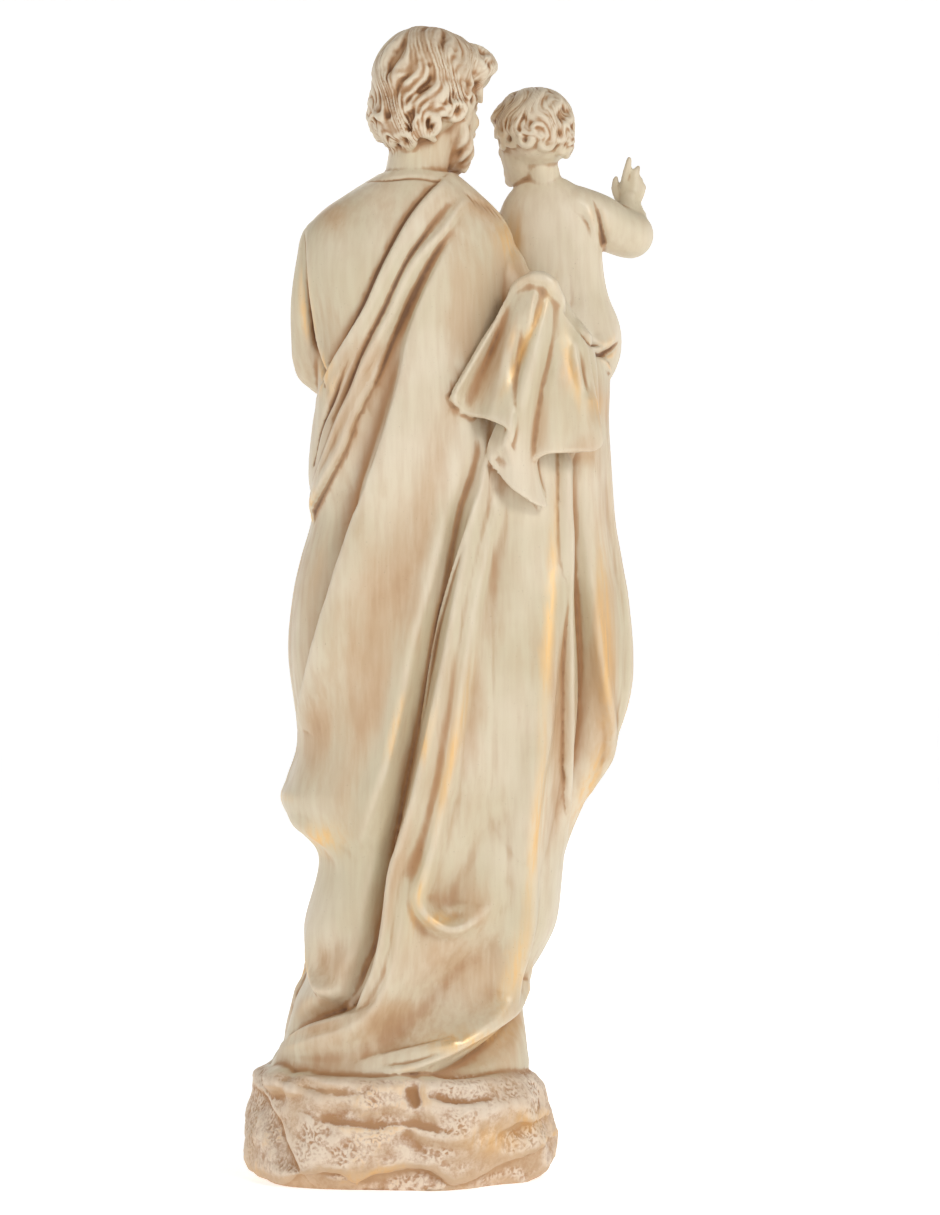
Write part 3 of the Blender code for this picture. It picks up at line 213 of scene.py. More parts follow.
# The way one looks at the figure from each side.
SIDES = {"back": (0, -1, 0), "front": (0, 1, 0), "left": (-1, 0, 0), "right": (1, 0, 0)}
OUTSIDE = 300  # further out than any point of the figure, in millimetres
FADED = 2.4  # a fold is gone at this many of its widths
PAIRS_AT_ONCE = 3_000_000


def on_surface(tree, side, points, spacing):
    """The fold's curve (a, z, rise) laid on the surface seen from one side: points, their normals and rises.
    a is x seen from the back or front, and y seen from the left or right."""
    points = np.asarray(points, float)
    length = np.linalg.norm(np.diff(points[:, :2], axis=0), axis=1).sum()
    curve = smooth_curve(points, max(6, int(length / spacing)))
    way = Vector(SIDES[side])
    found, facing, rise = [], [], []
    for a, z, h in curve:
        for k in range(40):
            a_in = a * (1 - 0.02 * k)
            start = Vector((a_in, 0, z)) if side in ("back", "front") else Vector((0, a_in, z))
            hit, normal, _, _ = tree.ray_cast(start - way * OUTSIDE, way)
            if hit is not None and normal.dot(way) < -0.12:
                break
        if hit is None:
            hit, normal, _, _ = tree.find_nearest(start - way * 40)
        found.append(hit)
        facing.append(normal)
        rise.append(h)
    found, facing = np.array(found, float), np.array(facing, float)
    for _ in range(4):
        facing[1:-1] = unit(facing[:-2] + facing[1:-1] + facing[2:])
        found[1:-1] = (found[:-2] + 2 * found[1:-1] + found[2:]) / 4
    return found, facing, np.array(rise)


def fold(co, no, line, facing, rise, left, right):
    """Raises (or lowers) the skin along a line that runs down. It falls off over left and right, seen from
    outside; towards a line that runs to the left, left is above it."""
    reach = FADED * max(left, right)
    low, high = line.min(0) - reach, line.max(0) + reach
    near = np.flatnonzero(((co > low) & (co < high)).all(1))
    if not len(near):
        return
    starts, steps = line[:-1], np.diff(line, axis=0)
    squares = np.maximum((steps**2).sum(1), 1e-9)
    across = unit(np.cross(unit(np.gradient(line, axis=0)), facing))
    for part in np.array_split(near, max(1, len(near) * len(line) // PAIRS_AT_ONCE)):
        away = co[part][:, None, :] - starts[None]
        share = np.clip((away * steps[None]).sum(2) / squares, 0, 1)
        away -= share[:, :, None] * steps[None]
        nearest = np.argmin((away**2).sum(2), axis=1)
        pick = np.arange(len(part))
        away, t = away[pick, nearest], share[pick, nearest][:, None]
        side = (away * (across[nearest] * (1 - t) + across[nearest + 1] * t)).sum(1)
        outward = facing[nearest] * (1 - t) + facing[nearest + 1] * t
        width = right + (left - right) * (0.5 + 0.5 * np.tanh(side / (0.4 * min(left, right))))
        height = rise[nearest] * (1 - t[:, 0]) + rise[nearest + 1] * t[:, 0]
        same_side = np.clip((no[part] * outward).sum(1) * 2 + 0.6, 0, 1)
        co[part] += no[part] * (height * np.exp(-(away**2).sum(1) / width**2) * same_side)[:, None]


def carve(mesh, folds, spacing=3.0, deeper=1.0):
    """Each fold is (side, [(across, z, rise)], left, right)."""
    tree = surface_tree(mesh)
    co, no = read(mesh), normals(mesh)
    for side, points, left, right in folds:
        line, facing, rise = on_surface(tree, side, points, spacing)
        fold(co, no, line, facing, rise * deeper, left, right)
    write(mesh, co)


# The saint's body and drapery
# Sections are (z, left, right, front, back).
BODY = [
    (-12, 66, -66, -50, 50),
    (4, 69, -69, -51, 52),
    (14, 63, -68, -49, 50),
    (39, 56, -66, -47, 47),
    (52, 50, -69, -47, 47),
    (66, 51, -77, -47, 48),
    (82, 51, -84, -47, 49),
    (108, 44, -87, -47, 50),
    (120, 45, -88, -47, 50),
    (131, 55, -88, -48, 51),
    (146, 63, -88, -48, 52),
    (158, 59, -89, -48, 53),
    (180, 53, -89, -49, 54),
    (223, 58, -89, -51, 55),
    (253, 56, -88, -51, 54),
    (274, 52, -86, -50, 53),
    (299, 46, -82, -48, 50),
    (319, 49, -78, -46, 49),
    (345, 47, -72, -43, 46),
    (365, 44, -66, -40, 44),
    (394, 45, -62, -38, 41),
    (424, 52, -62, -36, 41),
    (444, 52, -61, -33, 37),
    (458, 44, -54, -27, 32),
    (470, 27, -42, -20, 27),
    (480, 11, -30, -14, 21),
]
# The mantle that hangs from the forearm under the child.
SLING = [
    (388, -72, -110, -62, 8),
    (372, -62, -113, -70, 20),
    (340, -60, -112, -70, 27),
    (299, -58, -112.5, -66, 29),
    (274, -56, -116, -63, 29),
    (253, -56, -119.5, -60, 28),
    (223, -56, -122, -56, 26),
    (199, -56, -120, -52, 24),
    (167, -58, -110, -46, 20),
    (146, -60, -100, -40, 17),
    (125, -62, -91, -32, 13),
    (108, -66, -86, -24, 10),
]
# The flat panel of the mantle between the middle and the right, down to the train.
PANEL = [
    (366, -42, -78, -8, 28),
    (352, -36, -83, -10, 37),
    (319, -28, -84, -10, 43),
    (295, -24, -84, -10, 45.5),
    (274, -19, -84.5, -10, 46.5),
    (247, -13, -85, -10, 48),
    (220, -8, -85, -10, 49),
    (194, -2, -84.5, -10, 49),
    (167, 4, -83.5, -10, 48),
    (140, 8, -81.5, -10, 46.5),
    (116, 4, -79, -10, 43),
    (92, -8, -75, -10, 39),
    (72, -30, -69, -10, 32),
]
CHILD_BODY = [
    (366, -64, -109, -60, -10),
    (376, -58, -116, -64, -8),
    (388, -56, -119.5, -64, -7),
    (402, -56, -118.5, -58, -9),
    (418, -53, -112, -52, -10),
    (437, -51, -109, -49, -10),
    (452, -52, -109, -46, -12),
    (464, -54, -107, -43, -14),
    (473, -59, -100, -40, -17),
    (480, -67, -89, -36, -21),
]


def saint_body(clay):
    clay.loft(BODY)
    clay.loft(SLING, around=48)
    clay.loft(PANEL, around=48, power=2.5)
    # Neck, then the left arm, which bends across the front, and the right arm under the child.
    clay.tube([(-7, 5, 462), (-9, 3, 482), (-13, 0, 502)], [19, 16.5, 17])
    clay.tube([(38, 1, 442), (43, -3, 412), (43, -12, 384)], [16, 15.5, 15.5])
    clay.tube([(42, -14, 380), (28, -40, 376), (10, -60, 374)], [15.5, 14.5, 12.5])
    clay.tube([(-42, 1, 441), (-60, 3, 412), (-80, 2, 378)], [17, 18, 17])
    clay.tube([(-80, 2, 370), (-84, -30, 366), (-80, -66, 366)], [16, 15, 13])


def child_body(clay):
    clay.loft(CHILD_BODY, around=48)
    clay.tube([(-78, -29, 468), (-77, -28, 480), (-74, -27, 490)], [11, 9.6, 10])
    # Right arm, raised to bless: the full sleeve, its turned rim and the bare wrist.
    clay.tube([(-93, -29, 463), (-106, -32, 458), (-116, -36, 453), (-124, -39, 450.5)],
        [14, 14.4, 13.4, 13.2])
    clay.tube([(-123, -40, 451), (-124, -43, 458), (-124, -44, 463)], [13, 10.5, 8])
    turn = np.linspace(0, 2 * math.pi, 17)
    rim = np.stack([-123.8 + 8.4 * np.cos(turn), -44 + 6.6 * np.sin(turn),
        464.5 - 1.8 * np.cos(turn) ** 2 + 0.8 * np.cos(turn)], 1)
    clay.tube(rim, [1.4] * 17, around=10)
    clay.tube([(-124, -44, 460), (-124.4, -45, 470)], [6.4, 5.8])
    # Left arm, laid on the saint's chest.
    clay.tube([(-62, -32, 456), (-54, -46, 446), (-44, -54, 440)], [11, 10, 9])
    clay.tube([(-44, -54, 440), (-34, -50, 444), (-26, -44, 448)], [8.5, 7, 5.5])
    # Thighs along the forearm and shins that hang, both in the tunic.
    for x in (-72, -94):
        clay.tube([(x, -40, 382), (x + 3, -62, 386), (x + 8, -84, 380)], [17, 15, 12.5])
        clay.tube([(x + 8, -84, 380), (x + 10, -86, 362), (x + 13, -84, 344)], [12.5, 11.5, 10.5])
    clay.blob((-78, -66, 380), (20, 22, 13))


def hand(clay, wrist, along, palm_normal, size, bend, spread=0.04, thumb=1.0, curl=(0, 0, 0, 0)):
    """A hand from wrist along a direction. bend curls the fingers to the palm; curl adds to each finger."""
    wrist = np.asarray(wrist, float)
    along = unit(np.asarray(along, float))
    out = unit(np.asarray(palm_normal, float))
    out = unit(out - (out @ along) * along)
    across = np.cross(along, out) * thumb
    knuckle = wrist + along * 0.45 * size
    clay.tube([wrist, wrist + along * 0.2 * size, knuckle], [0.14 * size, 0.2 * size, 0.19 * size],
        flat=0.55, up=out)
    for k in range(4):
        offset = (1.5 - k) * 0.115 * size
        base = knuckle + across * offset - along * 0.02 * abs(k - 1) * size
        way = unit(along + across * (1.5 - k) * spread)
        length = size * (0.5, 0.56, 0.52, 0.42)[k]
        pts, point = [base - along * 0.1 * size, base], base
        turn = bend + curl[k]
        for j, share in enumerate((0.42, 0.33, 0.25)):
            angle = math.radians(turn * (j + 1))
            step = way * math.cos(angle) - out * math.sin(angle)
            point = point + step * share * length
            pts.append(point)
        clay.tube(pts, np.array([0.078, 0.078, 0.074, 0.070, 0.062]) * size, around=12, up=out, step=0.8)
    root = wrist + along * 0.14 * size + across * 0.14 * size
    tip = root + (along * 0.62 + across * 0.62 - out * 0.25) * 0.45 * size
    clay.tube([root, (root + tip) / 2 + across * 0.03 * size, tip],
        [0.085 * size, 0.072 * size, 0.05 * size], around=12, up=out, step=0.8)


def blessing_hand(clay):
    """The child's right hand: two fingers up, two curled over the palm, the thumb beside them."""
    clay.blob((-124.8, -45.5, 474.5), (6.6, 3.9, 7.4))
    clay.tube([(-121.5, -45.5, 475), (-121.8, -45, 482), (-123.2, -44, 488), (-124, -43.5, 492)],
        [2.7, 2.3, 2.1, 1.7], around=14, step=0.8)
    clay.tube([(-125.6, -45.5, 475), (-126.2, -44.8, 481), (-127.6, -45, 485), (-129, -46.5, 487.5)],
        [2.8, 2.4, 2.2, 1.7], around=14, step=0.8)
    for x, z in ((-129.2, 480.4), (-131, 476.6)):
        clay.tube([(x + 2, -44.5, z - 6), (x, -45.5, z - 0.5), (x, -49, z + 0.4), (x + 0.6, -51, z - 3)],
            [2.6, 2.4, 2.2, 1.8], around=14, step=0.8)
    clay.tube([(-119.4, -46, 469), (-116.6, -47.5, 475), (-116.4, -48, 479), (-117, -48.5, 482)],
        [2.9, 2.4, 2.1, 1.7], around=14, step=0.8)


def foot(clay, heel, toe, size):
    """A bare foot, from heel to toe, with five toes."""
    heel, toe = np.asarray(heel, float), np.asarray(toe, float)
    along = unit(toe - heel)
    side = unit(np.cross(along, (0, 0.3, 1)))
    top = np.cross(side, along)
    middle = (heel + toe) / 2 + top * size * 0.1
    clay.tube([heel, middle, toe], np.array([0.2, 0.21, 0.22]) * size, flat=0.6, around=18, up=top)
    for k in range(5):
        thick = size * (0.095 if k == 0 else 0.066)
        tip = toe + side * (1.8 - k) * size * 0.095 + along * size * (0.24 - 0.035 * k) - top * size * 0.03
        clay.tube([tip - along * size * 0.12, tip], [thick, thick * 0.95], around=12, step=0.8)


# Heads
def head_shape(clay, beard):
    """Skull and face in a frame of one head height: crown at 0.5, chin at -0.5, face towards -Y."""
    clay.blob((0, 0.06, 0.10), (0.325, 0.40, 0.39))
    clay.blob((0, -0.10, -0.12), (0.265, 0.27, 0.34))
    clay.blob((0, -0.17, -0.33), (0.17, 0.19, 0.17))
    clay.blob((0, -0.305, -0.415), (0.085, 0.075, 0.075))
    # Brow, nose with its wings, eyes with their lids, cheeks, lips and ears.
    clay.tube([(-0.20, -0.26, 0.075), (0, -0.345, 0.09), (0.20, -0.26, 0.075)], [0.05, 0.055, 0.05],
        around=14, step=0.03)
    clay.tube([(0, -0.34, 0.09), (0, -0.385, -0.02), (0, -0.435, -0.13), (0, -0.40, -0.155)],
        [0.03, 0.034, 0.048, 0.035], around=14, step=0.02)
    for s in (-1, 1):
        clay.blob((s * 0.045, -0.375, -0.145), (0.032, 0.038, 0.028))
        clay.blob((s * 0.125, -0.285, 0.0), (0.062, 0.055, 0.045))
        clay.blob((s * 0.155, -0.24, -0.13), (0.085, 0.085, 0.08))
        clay.blob((s * 0.315, 0.03, -0.06), (0.03, 0.06, 0.10), turn=(0, 0, s * 15))
    clay.tube([(-0.08, -0.325, -0.245), (0, -0.372, -0.23), (0.08, -0.325, -0.245)],
        [0.016, 0.026, 0.016], around=12, step=0.02)
    clay.tube([(-0.07, -0.325, -0.275), (0, -0.365, -0.28), (0.07, -0.325, -0.275)],
        [0.016, 0.028, 0.016], around=12, step=0.02)
    if not beard:
        return
    # A short beard of locks down from each cheek to the chin, and a moustache.
    for k in range(9):
        turn = math.radians(-80 + 20 * k)
        sway = 0.03 * (-1) ** k
        x, y = 0.25 * math.sin(turn), -0.05 - 0.26 * math.cos(turn)
        top = (x, y, -0.20 - 0.12 * math.cos(turn))
        low = (x * 0.5 + sway, y * 0.96 - 0.02, -0.37 - 0.12 * math.cos(turn))
        middle = (x * 0.92, y - 0.02, (top[2] + low[2]) / 2)
        clay.tube([top, middle, low], [0.035, 0.048, 0.026], around=12, step=0.03)
    for s in (-1, 1):
        clay.tube([(0, -0.375, -0.195), (s * 0.08, -0.345, -0.215), (s * 0.13, -0.29, -0.29)],
            [0.022, 0.03, 0.016], around=12, step=0.02)


HAIR_CENTRE = np.array([0, 0.05, 0.04])
SAINT_SHELL = [
    ((0, 0.06, 0.11), (0.350, 0.420, 0.430)),
    ((0, 0.19, -0.16), (0.29, 0.25, 0.27)),
    ((0.17, 0.15, -0.08), (0.225, 0.225, 0.25)),
    ((-0.15, 0.14, -0.08), (0.20, 0.21, 0.24)),
    ((-0.15, -0.16, 0.25), (0.22, 0.22, 0.17)),
    ((0.13, -0.17, 0.25), (0.20, 0.20, 0.16)),
]
CHILD_SHELL = [
    ((0, 0.06, 0.11), (0.375, 0.435, 0.450)),
    ((0, 0.17, -0.09), (0.33, 0.26, 0.22)),
    ((0.17, -0.16, 0.20), (0.20, 0.20, 0.17)),
    ((-0.15, -0.16, 0.22), (0.19, 0.19, 0.16)),
]


def shell_reach(way, shell):
    """How far the hair's volume reaches from its centre in a direction."""
    best = 0.0
    for centre, radii in shell:
        offset, radii = HAIR_CENTRE - centre, np.asarray(radii)
        a = ((way / radii) ** 2).sum()
        b = (way * offset / radii**2).sum()
        c = ((offset / radii) ** 2).sum() - 1
        if b * b > a * c:
            best = max(best, (-b + math.sqrt(b * b - a * c)) / a)
    return best


def hair_point(azimuth, down, shell, lift=0.0):
    """A point on the hair. azimuth is 0 at the back and grows to the left ear; down is from the crown."""
    a, d = math.radians(azimuth), math.radians(down)
    way = np.array([math.sin(a) * math.sin(d), math.cos(a) * math.sin(d), math.cos(d)])
    return HAIR_CENTRE + way * (shell_reach(way, shell) + lift)


def hair_end(azimuth, back, side, front):
    """How far down a lock goes, in degrees from the crown, at the back, over the ear and at the forehead."""
    a = np.abs((azimuth + 180) % 360 - 180)
    behind = back + (side - back) * (a / 90) ** 2
    return np.where(a < 90, behind, side + (front - side) * np.minimum(1, (a - 90) / 50))


def hair_sway(azimuth, share, style):
    """How far hair from this azimuth has swung sideways, in degrees, a share of the way down."""
    wave, turns = style
    a = np.radians(azimuth)
    phase = 0.45 * np.sin(a + 0.4) + 0.30 * np.sin(2 * a + 1.3) + 0.12 * np.sin(5 * a)
    return wave * np.sin(2 * math.pi * (turns * share + phase)) * np.minimum(1, 1.8 * share)


def lock(clay, azimuth, ends, shell, width, style, start=5.0, drift=0.0, hook=0.0):
    """A wavy lock from the crown down, whose end can hook sideways and stand off."""
    path = []
    for k in range(18):
        t = k / 17
        down = start + (ends - start) * t
        spread = 1 / max(math.sin(math.radians(down)), 0.5)
        flip = max(0, t - 0.78) / 0.22
        sway = hair_sway(azimuth, t, style) + hook * flip**2 + drift * math.sin(5 * t + azimuth)
        lift = 0.1 + (0.55 if ends > 80 else 0.15) * flip**2 - 0.55 * (1 - t) ** 2
        path.append(hair_point(azimuth + sway * spread, down, shell, width * lift))
    clay.tube(path, np.array([0.55, 0.85, 1.0, 1.0, 0.9, 0.45]) * width, around=14, step=0.035)


def curl(clay, azimuth, down, shell, size, turns=1.4, tube=0.032, way=1):
    """A ring-shaped curl that lies on the hair and winds in to a hollow."""
    centre = hair_point(azimuth, down, shell)
    out = unit(centre - HAIR_CENTRE)
    side = unit(np.cross(out, [0, 0, 1]))
    up = np.cross(side, out)
    path = []
    for k in range(18):
        t = k / 17
        angle = way * 2 * math.pi * turns * t + 0.8
        r = size * (1 - 0.60 * t)
        path.append(centre + out * (0.045 - 0.06 * t) + (side * math.cos(angle) + up * math.sin(angle)) * r)
    clay.tube(path, np.array([0.5, 1, 1.1, 0.9, 0.5]) * tube, around=12, up=out, step=0.02)


def shell_blobs(clay, shell):
    for centre, radii in shell:
        clay.blob(centre, np.asarray(radii) * 0.985)


SAINT_STYLE = (10.0, 1.55)
CHILD_STYLE = (14.0, 1.15)
SAINT_LENGTHS = (152, 124, 64)
CHILD_LENGTHS = (112, 98, 62)


def saint_hair(clay):
    shell_blobs(clay, SAINT_SHELL)
    for k in range(26):
        azimuth = k * 360 / 26 + 3 * math.sin(k * 2.4)
        ends = hair_end(azimuth, *SAINT_LENGTHS) + 7 * math.sin(k * 1.7)
        lock(clay, azimuth, ends, SAINT_SHELL, 0.054, SAINT_STYLE, hook=14 * (-1) ** (k // 2))
    for k in range(17):
        azimuth = 9 + k * 360 / 17 + 5 * math.sin(k * 1.9)
        ends = hair_end(azimuth, 134, 112, 66) + 9 * math.sin(k * 2.9)
        lock(clay, azimuth, ends, SAINT_SHELL, 0.050, SAINT_STYLE, start=24, drift=4, hook=24 * (-1) ** k)
    rings = ((19, 131, 0.105, 1), (-45, 136, 0.105, -1), (-12, 148, 0.075, 1), (60, 124, 0.09, -1),
        (-80, 122, 0.075, 1))
    for azimuth, down, size, way in rings + ((96, 118, 0.075, 1), (-106, 104, 0.065, -1)):
        curl(clay, azimuth, down, SAINT_SHELL, size, way=way)


def child_hair(clay):
    shell_blobs(clay, CHILD_SHELL)
    for k in range(20):
        azimuth = k * 18 + 5 * math.sin(k * 2.1)
        ends = hair_end(azimuth, *CHILD_LENGTHS) + 7 * math.sin(k * 1.3)
        lock(clay, azimuth, ends, CHILD_SHELL, 0.056, CHILD_STYLE, hook=26 * (-1) ** k)
    for k in range(11):
        azimuth = 15 + k * 360 / 11 + 5 * math.sin(k * 2.7)
        lock(clay, azimuth, hair_end(azimuth, 96, 88, 58), CHILD_SHELL, 0.050, CHILD_STYLE, start=30,
            drift=6, hook=-26 * (-1) ** k)
    for k in range(15):
        azimuth = -112 + k * 16 + 4 * math.sin(k * 2.7)
        down = 116 - 18 * (k % 2) - 0.08 * abs(azimuth)
        curl(clay, azimuth, down, CHILD_SHELL, 0.092, tube=0.034, way=1 - 2 * (k % 2))


def head_turn(head):
    """The head's axes in the figure. yaw turns the face towards +X, pitch nods it and roll tilts it."""
    angles = [math.radians(head[name]) for name in ("pitch", "roll", "yaw")]
    return np.array(Euler(angles, "XYZ").to_matrix())


def placed(head):
    """Carries head coordinates to the figure."""
    turned = head_turn(head)
    return lambda p: np.asarray(p) * head["height"] @ turned.T + np.asarray(head["centre"], float)


SAINT_HEAD = dict(height=71, centre=(-17.5, -5, 519.5), yaw=-42, pitch=12, roll=7)
CHILD_HEAD = dict(height=49, centre=(-70, -27, 501), yaw=38, pitch=6, roll=-8)


def heads(clay):
    for hair, beard, place in ((saint_hair, True, SAINT_HEAD), (child_hair, False, CHILD_HEAD)):
        lump = Clay()
        head_shape(lump, beard)
        hair(lump)
        clay.add(lump, placed(place))


def limbs(clay):
    blessing_hand(clay)
    hand(clay, (-29, -44, 447), (1, 0.25, 0.15), (0.1, -0.9, 0.4), 25, 10)
    hand(clay, (12, -60, 374), (-1, -0.35, 0.02), (0.25, -0.95, 0.1), 46, 14, thumb=-1)
    hand(clay, (-80, -66, 364), (0.75, -0.7, -0.1), (-0.2, -0.3, -1), 42, 12)
    foot(clay, (-52, -86, 338), (-50, -94, 326), 24)
    foot(clay, (-76, -86, 338), (-78, -94, 326), 24)
    foot(clay, (24, -40, 8), (30, -60, 6), 40)
    foot(clay, (-28, -36, 8), (-34, -56, 6), 40)


# The end of the mantle that hangs from a gather at the elbow. The gather is a curve of (x, z), and the hem
# under it is another, which folds back on itself twice and comes to a tip between.
GATHER = [(-60, 416.5), (-64, 419.4), (-70.5, 421.6), (-75.8, 419.8), (-79.2, 415.4), (-83.2, 409.5),
    (-89.4, 400.3), (-98.7, 387.1)]
HEM = [
    (-28.8, 362.4), (-27.9, 357.8), (-30.6, 352.7), (-36.8, 349.6),
    (-44.5, 348.3), (-50, 347.4), (-55.1, 344.3), (-58.5, 338.4),
    (-56.1, 333.8), (-50.7, 330.7), (-47, 327.3), (-50, 320.7),
    (-57.7, 311.9), (-67.7, 303.7), (-77.3, 298.9), (-74.7, 308.3),
    (-71.1, 316.8), (-70.5, 323), (-73.1, 327.3), (-80.1, 330.1),
    (-89.4, 330.7), (-98.7, 330.4), (-104.8, 331.5), (-107.3, 336.9),
]
# (place along the hem, width, rise just under the gather, half way down and at the hem) of each of its folds.
CLOTH_FOLDS = [
    (0.0, 1.6, 1, 4, 5),
    (2.9, 1.5, -2, -6, -3),
    (4.6, 1.1, 1, 6, 3),
    (6.9, 2.2, 6, -1, 12),
    (9.6, 1.5, 2, -7, -4),
    (12.5, 1.2, 6, 10, 5),
    (15.6, 1.5, -2, -6, -8),
    (18.2, 1.4, 0, 3, 4),
    (21.0, 2.2, 2, 4, 5),
]
# (place along the hem, width, sideways bow) of the folds that swing to the left on their way down.
CLOTH_BOW = (14.2, 2.8, 14)
CLOTH_THICK = 4.0


def cloth_end(clay):
    columns = 150
    place = np.linspace(0, len(HEM) - 1, columns)
    gather, hem = smooth_curve(GATHER, columns), smooth_curve(HEM, columns)
    share = np.linspace(0, 1, 48)[:, None]
    depth = 37 + 5 * np.sin(math.pi * place / place[-1]) - 7 * (place / place[-1]) ** 3 + 6 * share
    for middle, width, high, half, low in CLOTH_FOLDS:
        rise = smooth_curve([(0,), (high,), (half,), (0.5 * (half + low),), (low,)], 48)
        depth = depth + rise * np.exp(-(((place - middle) / width) ** 2))
    flat = gather + (hem - gather) * share[:, :, None]
    middle, width, bow = CLOTH_BOW
    flat[:, :, 0] += bow * np.exp(-(((place - middle) / width) ** 2)) * 4 * share**2 * (1 - share)
    face = np.stack([flat[:, :, 0], depth, flat[:, :, 1]], axis=2)
    clay.sheet(face, CLOTH_THICK)
    # The bulk behind its folds, which stops short of the hem.
    clay.loft([(334, -52, -104, 0, 24), (350, -44, -106, 0, 30), (384, -50, -104, 0, 31),
        (402, -58, -96, 0, 28), (414, -62, -86, 2, 28), (421, -67, -80, 8, 22)], around=40)
    # The gather: cloth rolled over the forearm.
    rolled = [(-58, 33, 409), (-63, 38, 417), (-71, 41, 421), (-78, 41, 419), (-83, 38, 412),
        (-85, 32, 404)]
    clay.tube(rolled, [2.6, 4.2, 5.4, 5.6, 4.8, 3], around=16)


# (level, left, right, deep): the rock's reach as shares of its half width and half depth, from below its
# underside at level -1 to just over its top at 0.
ROCK_PROFILE = [
    (-1.06, 0.80, 0.80, 0.84),
    (-1.0, 0.81, 0.82, 0.86),
    (-0.955, 0.86, 0.86, 0.89),
    (-0.83, 0.97, 0.95, 0.95),
    (-0.70, 1.04, 1.005, 1.0),
    (-0.56, 1.05, 0.95, 1.0),
    (-0.32, 1.05, 0.905, 0.97),
    (-0.20, 1.03, 0.885, 0.95),
    (-0.09, 0.985, 0.845, 0.92),
    (0.0, 0.93, 0.80, 0.90),
    (0.06, 0.82, 0.74, 0.84),
]


# (centre, radii) of the lumps of rock that rise against the hem behind.
MOUNDS = (
    ((60, 22, -2), (14, 18, 8)),
    ((44, 36, -3), (18, 13, 8)),
    ((22, 44, -4), (17, 10, 8)),
)


def rock(clay):
    """The rock under the figure, below z = 0 here, with flat cuts that give it its facets."""
    wide, deep, tall = ROCK_WIDTH / MM / 2, ROCK_DEPTH / MM / 2, ROCK_HEIGHT / MM
    cos, sin = circle(140)
    rng = np.random.default_rng(11)
    cuts = []
    for k in range(26):
        turn = 2 * math.pi * (k + rng.uniform(-0.4, 0.4)) / 13
        way = unit(np.array([math.cos(turn), math.sin(turn), rng.uniform(-0.35, 0.3)]))
        reach = math.hypot(way[0] * wide, way[1] * deep) * rng.uniform(0.91, 1.0)
        cuts.append((way, rng.uniform(-0.8, -0.2) * tall, reach))
    # Smooth slanted facets that undercut its lower edge.
    for k in range(9):
        turn = 2 * math.pi * (k + rng.uniform(-0.3, 0.3)) / 9
        way = unit(np.array([math.cos(turn), math.sin(turn), rng.uniform(-1.1, -0.8)]))
        reach = math.hypot(way[0] * wide, way[1] * deep) * rng.uniform(0.93, 0.99)
        cuts.append((way, -0.86 * tall, reach))
    rings = []
    for level, left, right, back in smooth_curve(ROCK_PROFILE, 44):
        x = np.sign(cos) * np.abs(cos) ** 0.86 * wide * np.where(cos > 0, left, right)
        y = np.sign(sin) * np.abs(sin) ** 0.86 * deep * back
        ring = np.stack([x, y, np.full(len(cos), level * tall)], 1)
        for way, height, reach in cuts:
            beyond = np.maximum((ring - [0, 0, height]) @ way - reach, 0)
            ring[:, :2] -= beyond[:, None] * way[:2] * 0.85
        rings.append(ring)
    clay.stack(rings)
    for centre, radii in MOUNDS:
        clay.blob(centre, radii)


def soft_noise(points, size, seed=1):
    """Gradient noise from about -1 to 1 whose lumps are about size across."""
    slopes = unit(np.random.default_rng(seed).normal(size=(4096, 3)))
    p = np.asarray(points) / size
    cell = np.floor(p).astype(np.int64)
    f = p - cell
    fade = f**3 * (f * (6 * f - 15) + 10)
    total = 0.0
    for corner in np.ndindex(2, 2, 2):
        at = cell + corner
        slope = slopes[(at[:, 0] * 73856093 ^ at[:, 1] * 19349663 ^ at[:, 2] * 83492791) & 4095]
        weight = np.where(corner, fade, 1 - fade).prod(1)
        total = total + ((f - corner) * slope).sum(1) * weight
    return total * 1.7


def roughen_rock(mesh, layers):
    """Breaks the rock's smooth sides with (size, height) layers of noise."""
    co, no = read(mesh), normals(mesh)
    rock_part = np.clip((1.5 - co[:, 2]) / 3, 0, 1)
    for seed, (size, height) in enumerate(layers):
        co += no * (rock_part * height * soft_noise(co, size, seed + 5))[:, None]
    write(mesh, co)


def seen_from_behind(strokes):
    return [("back", points, left, right) for points, left, right in strokes]


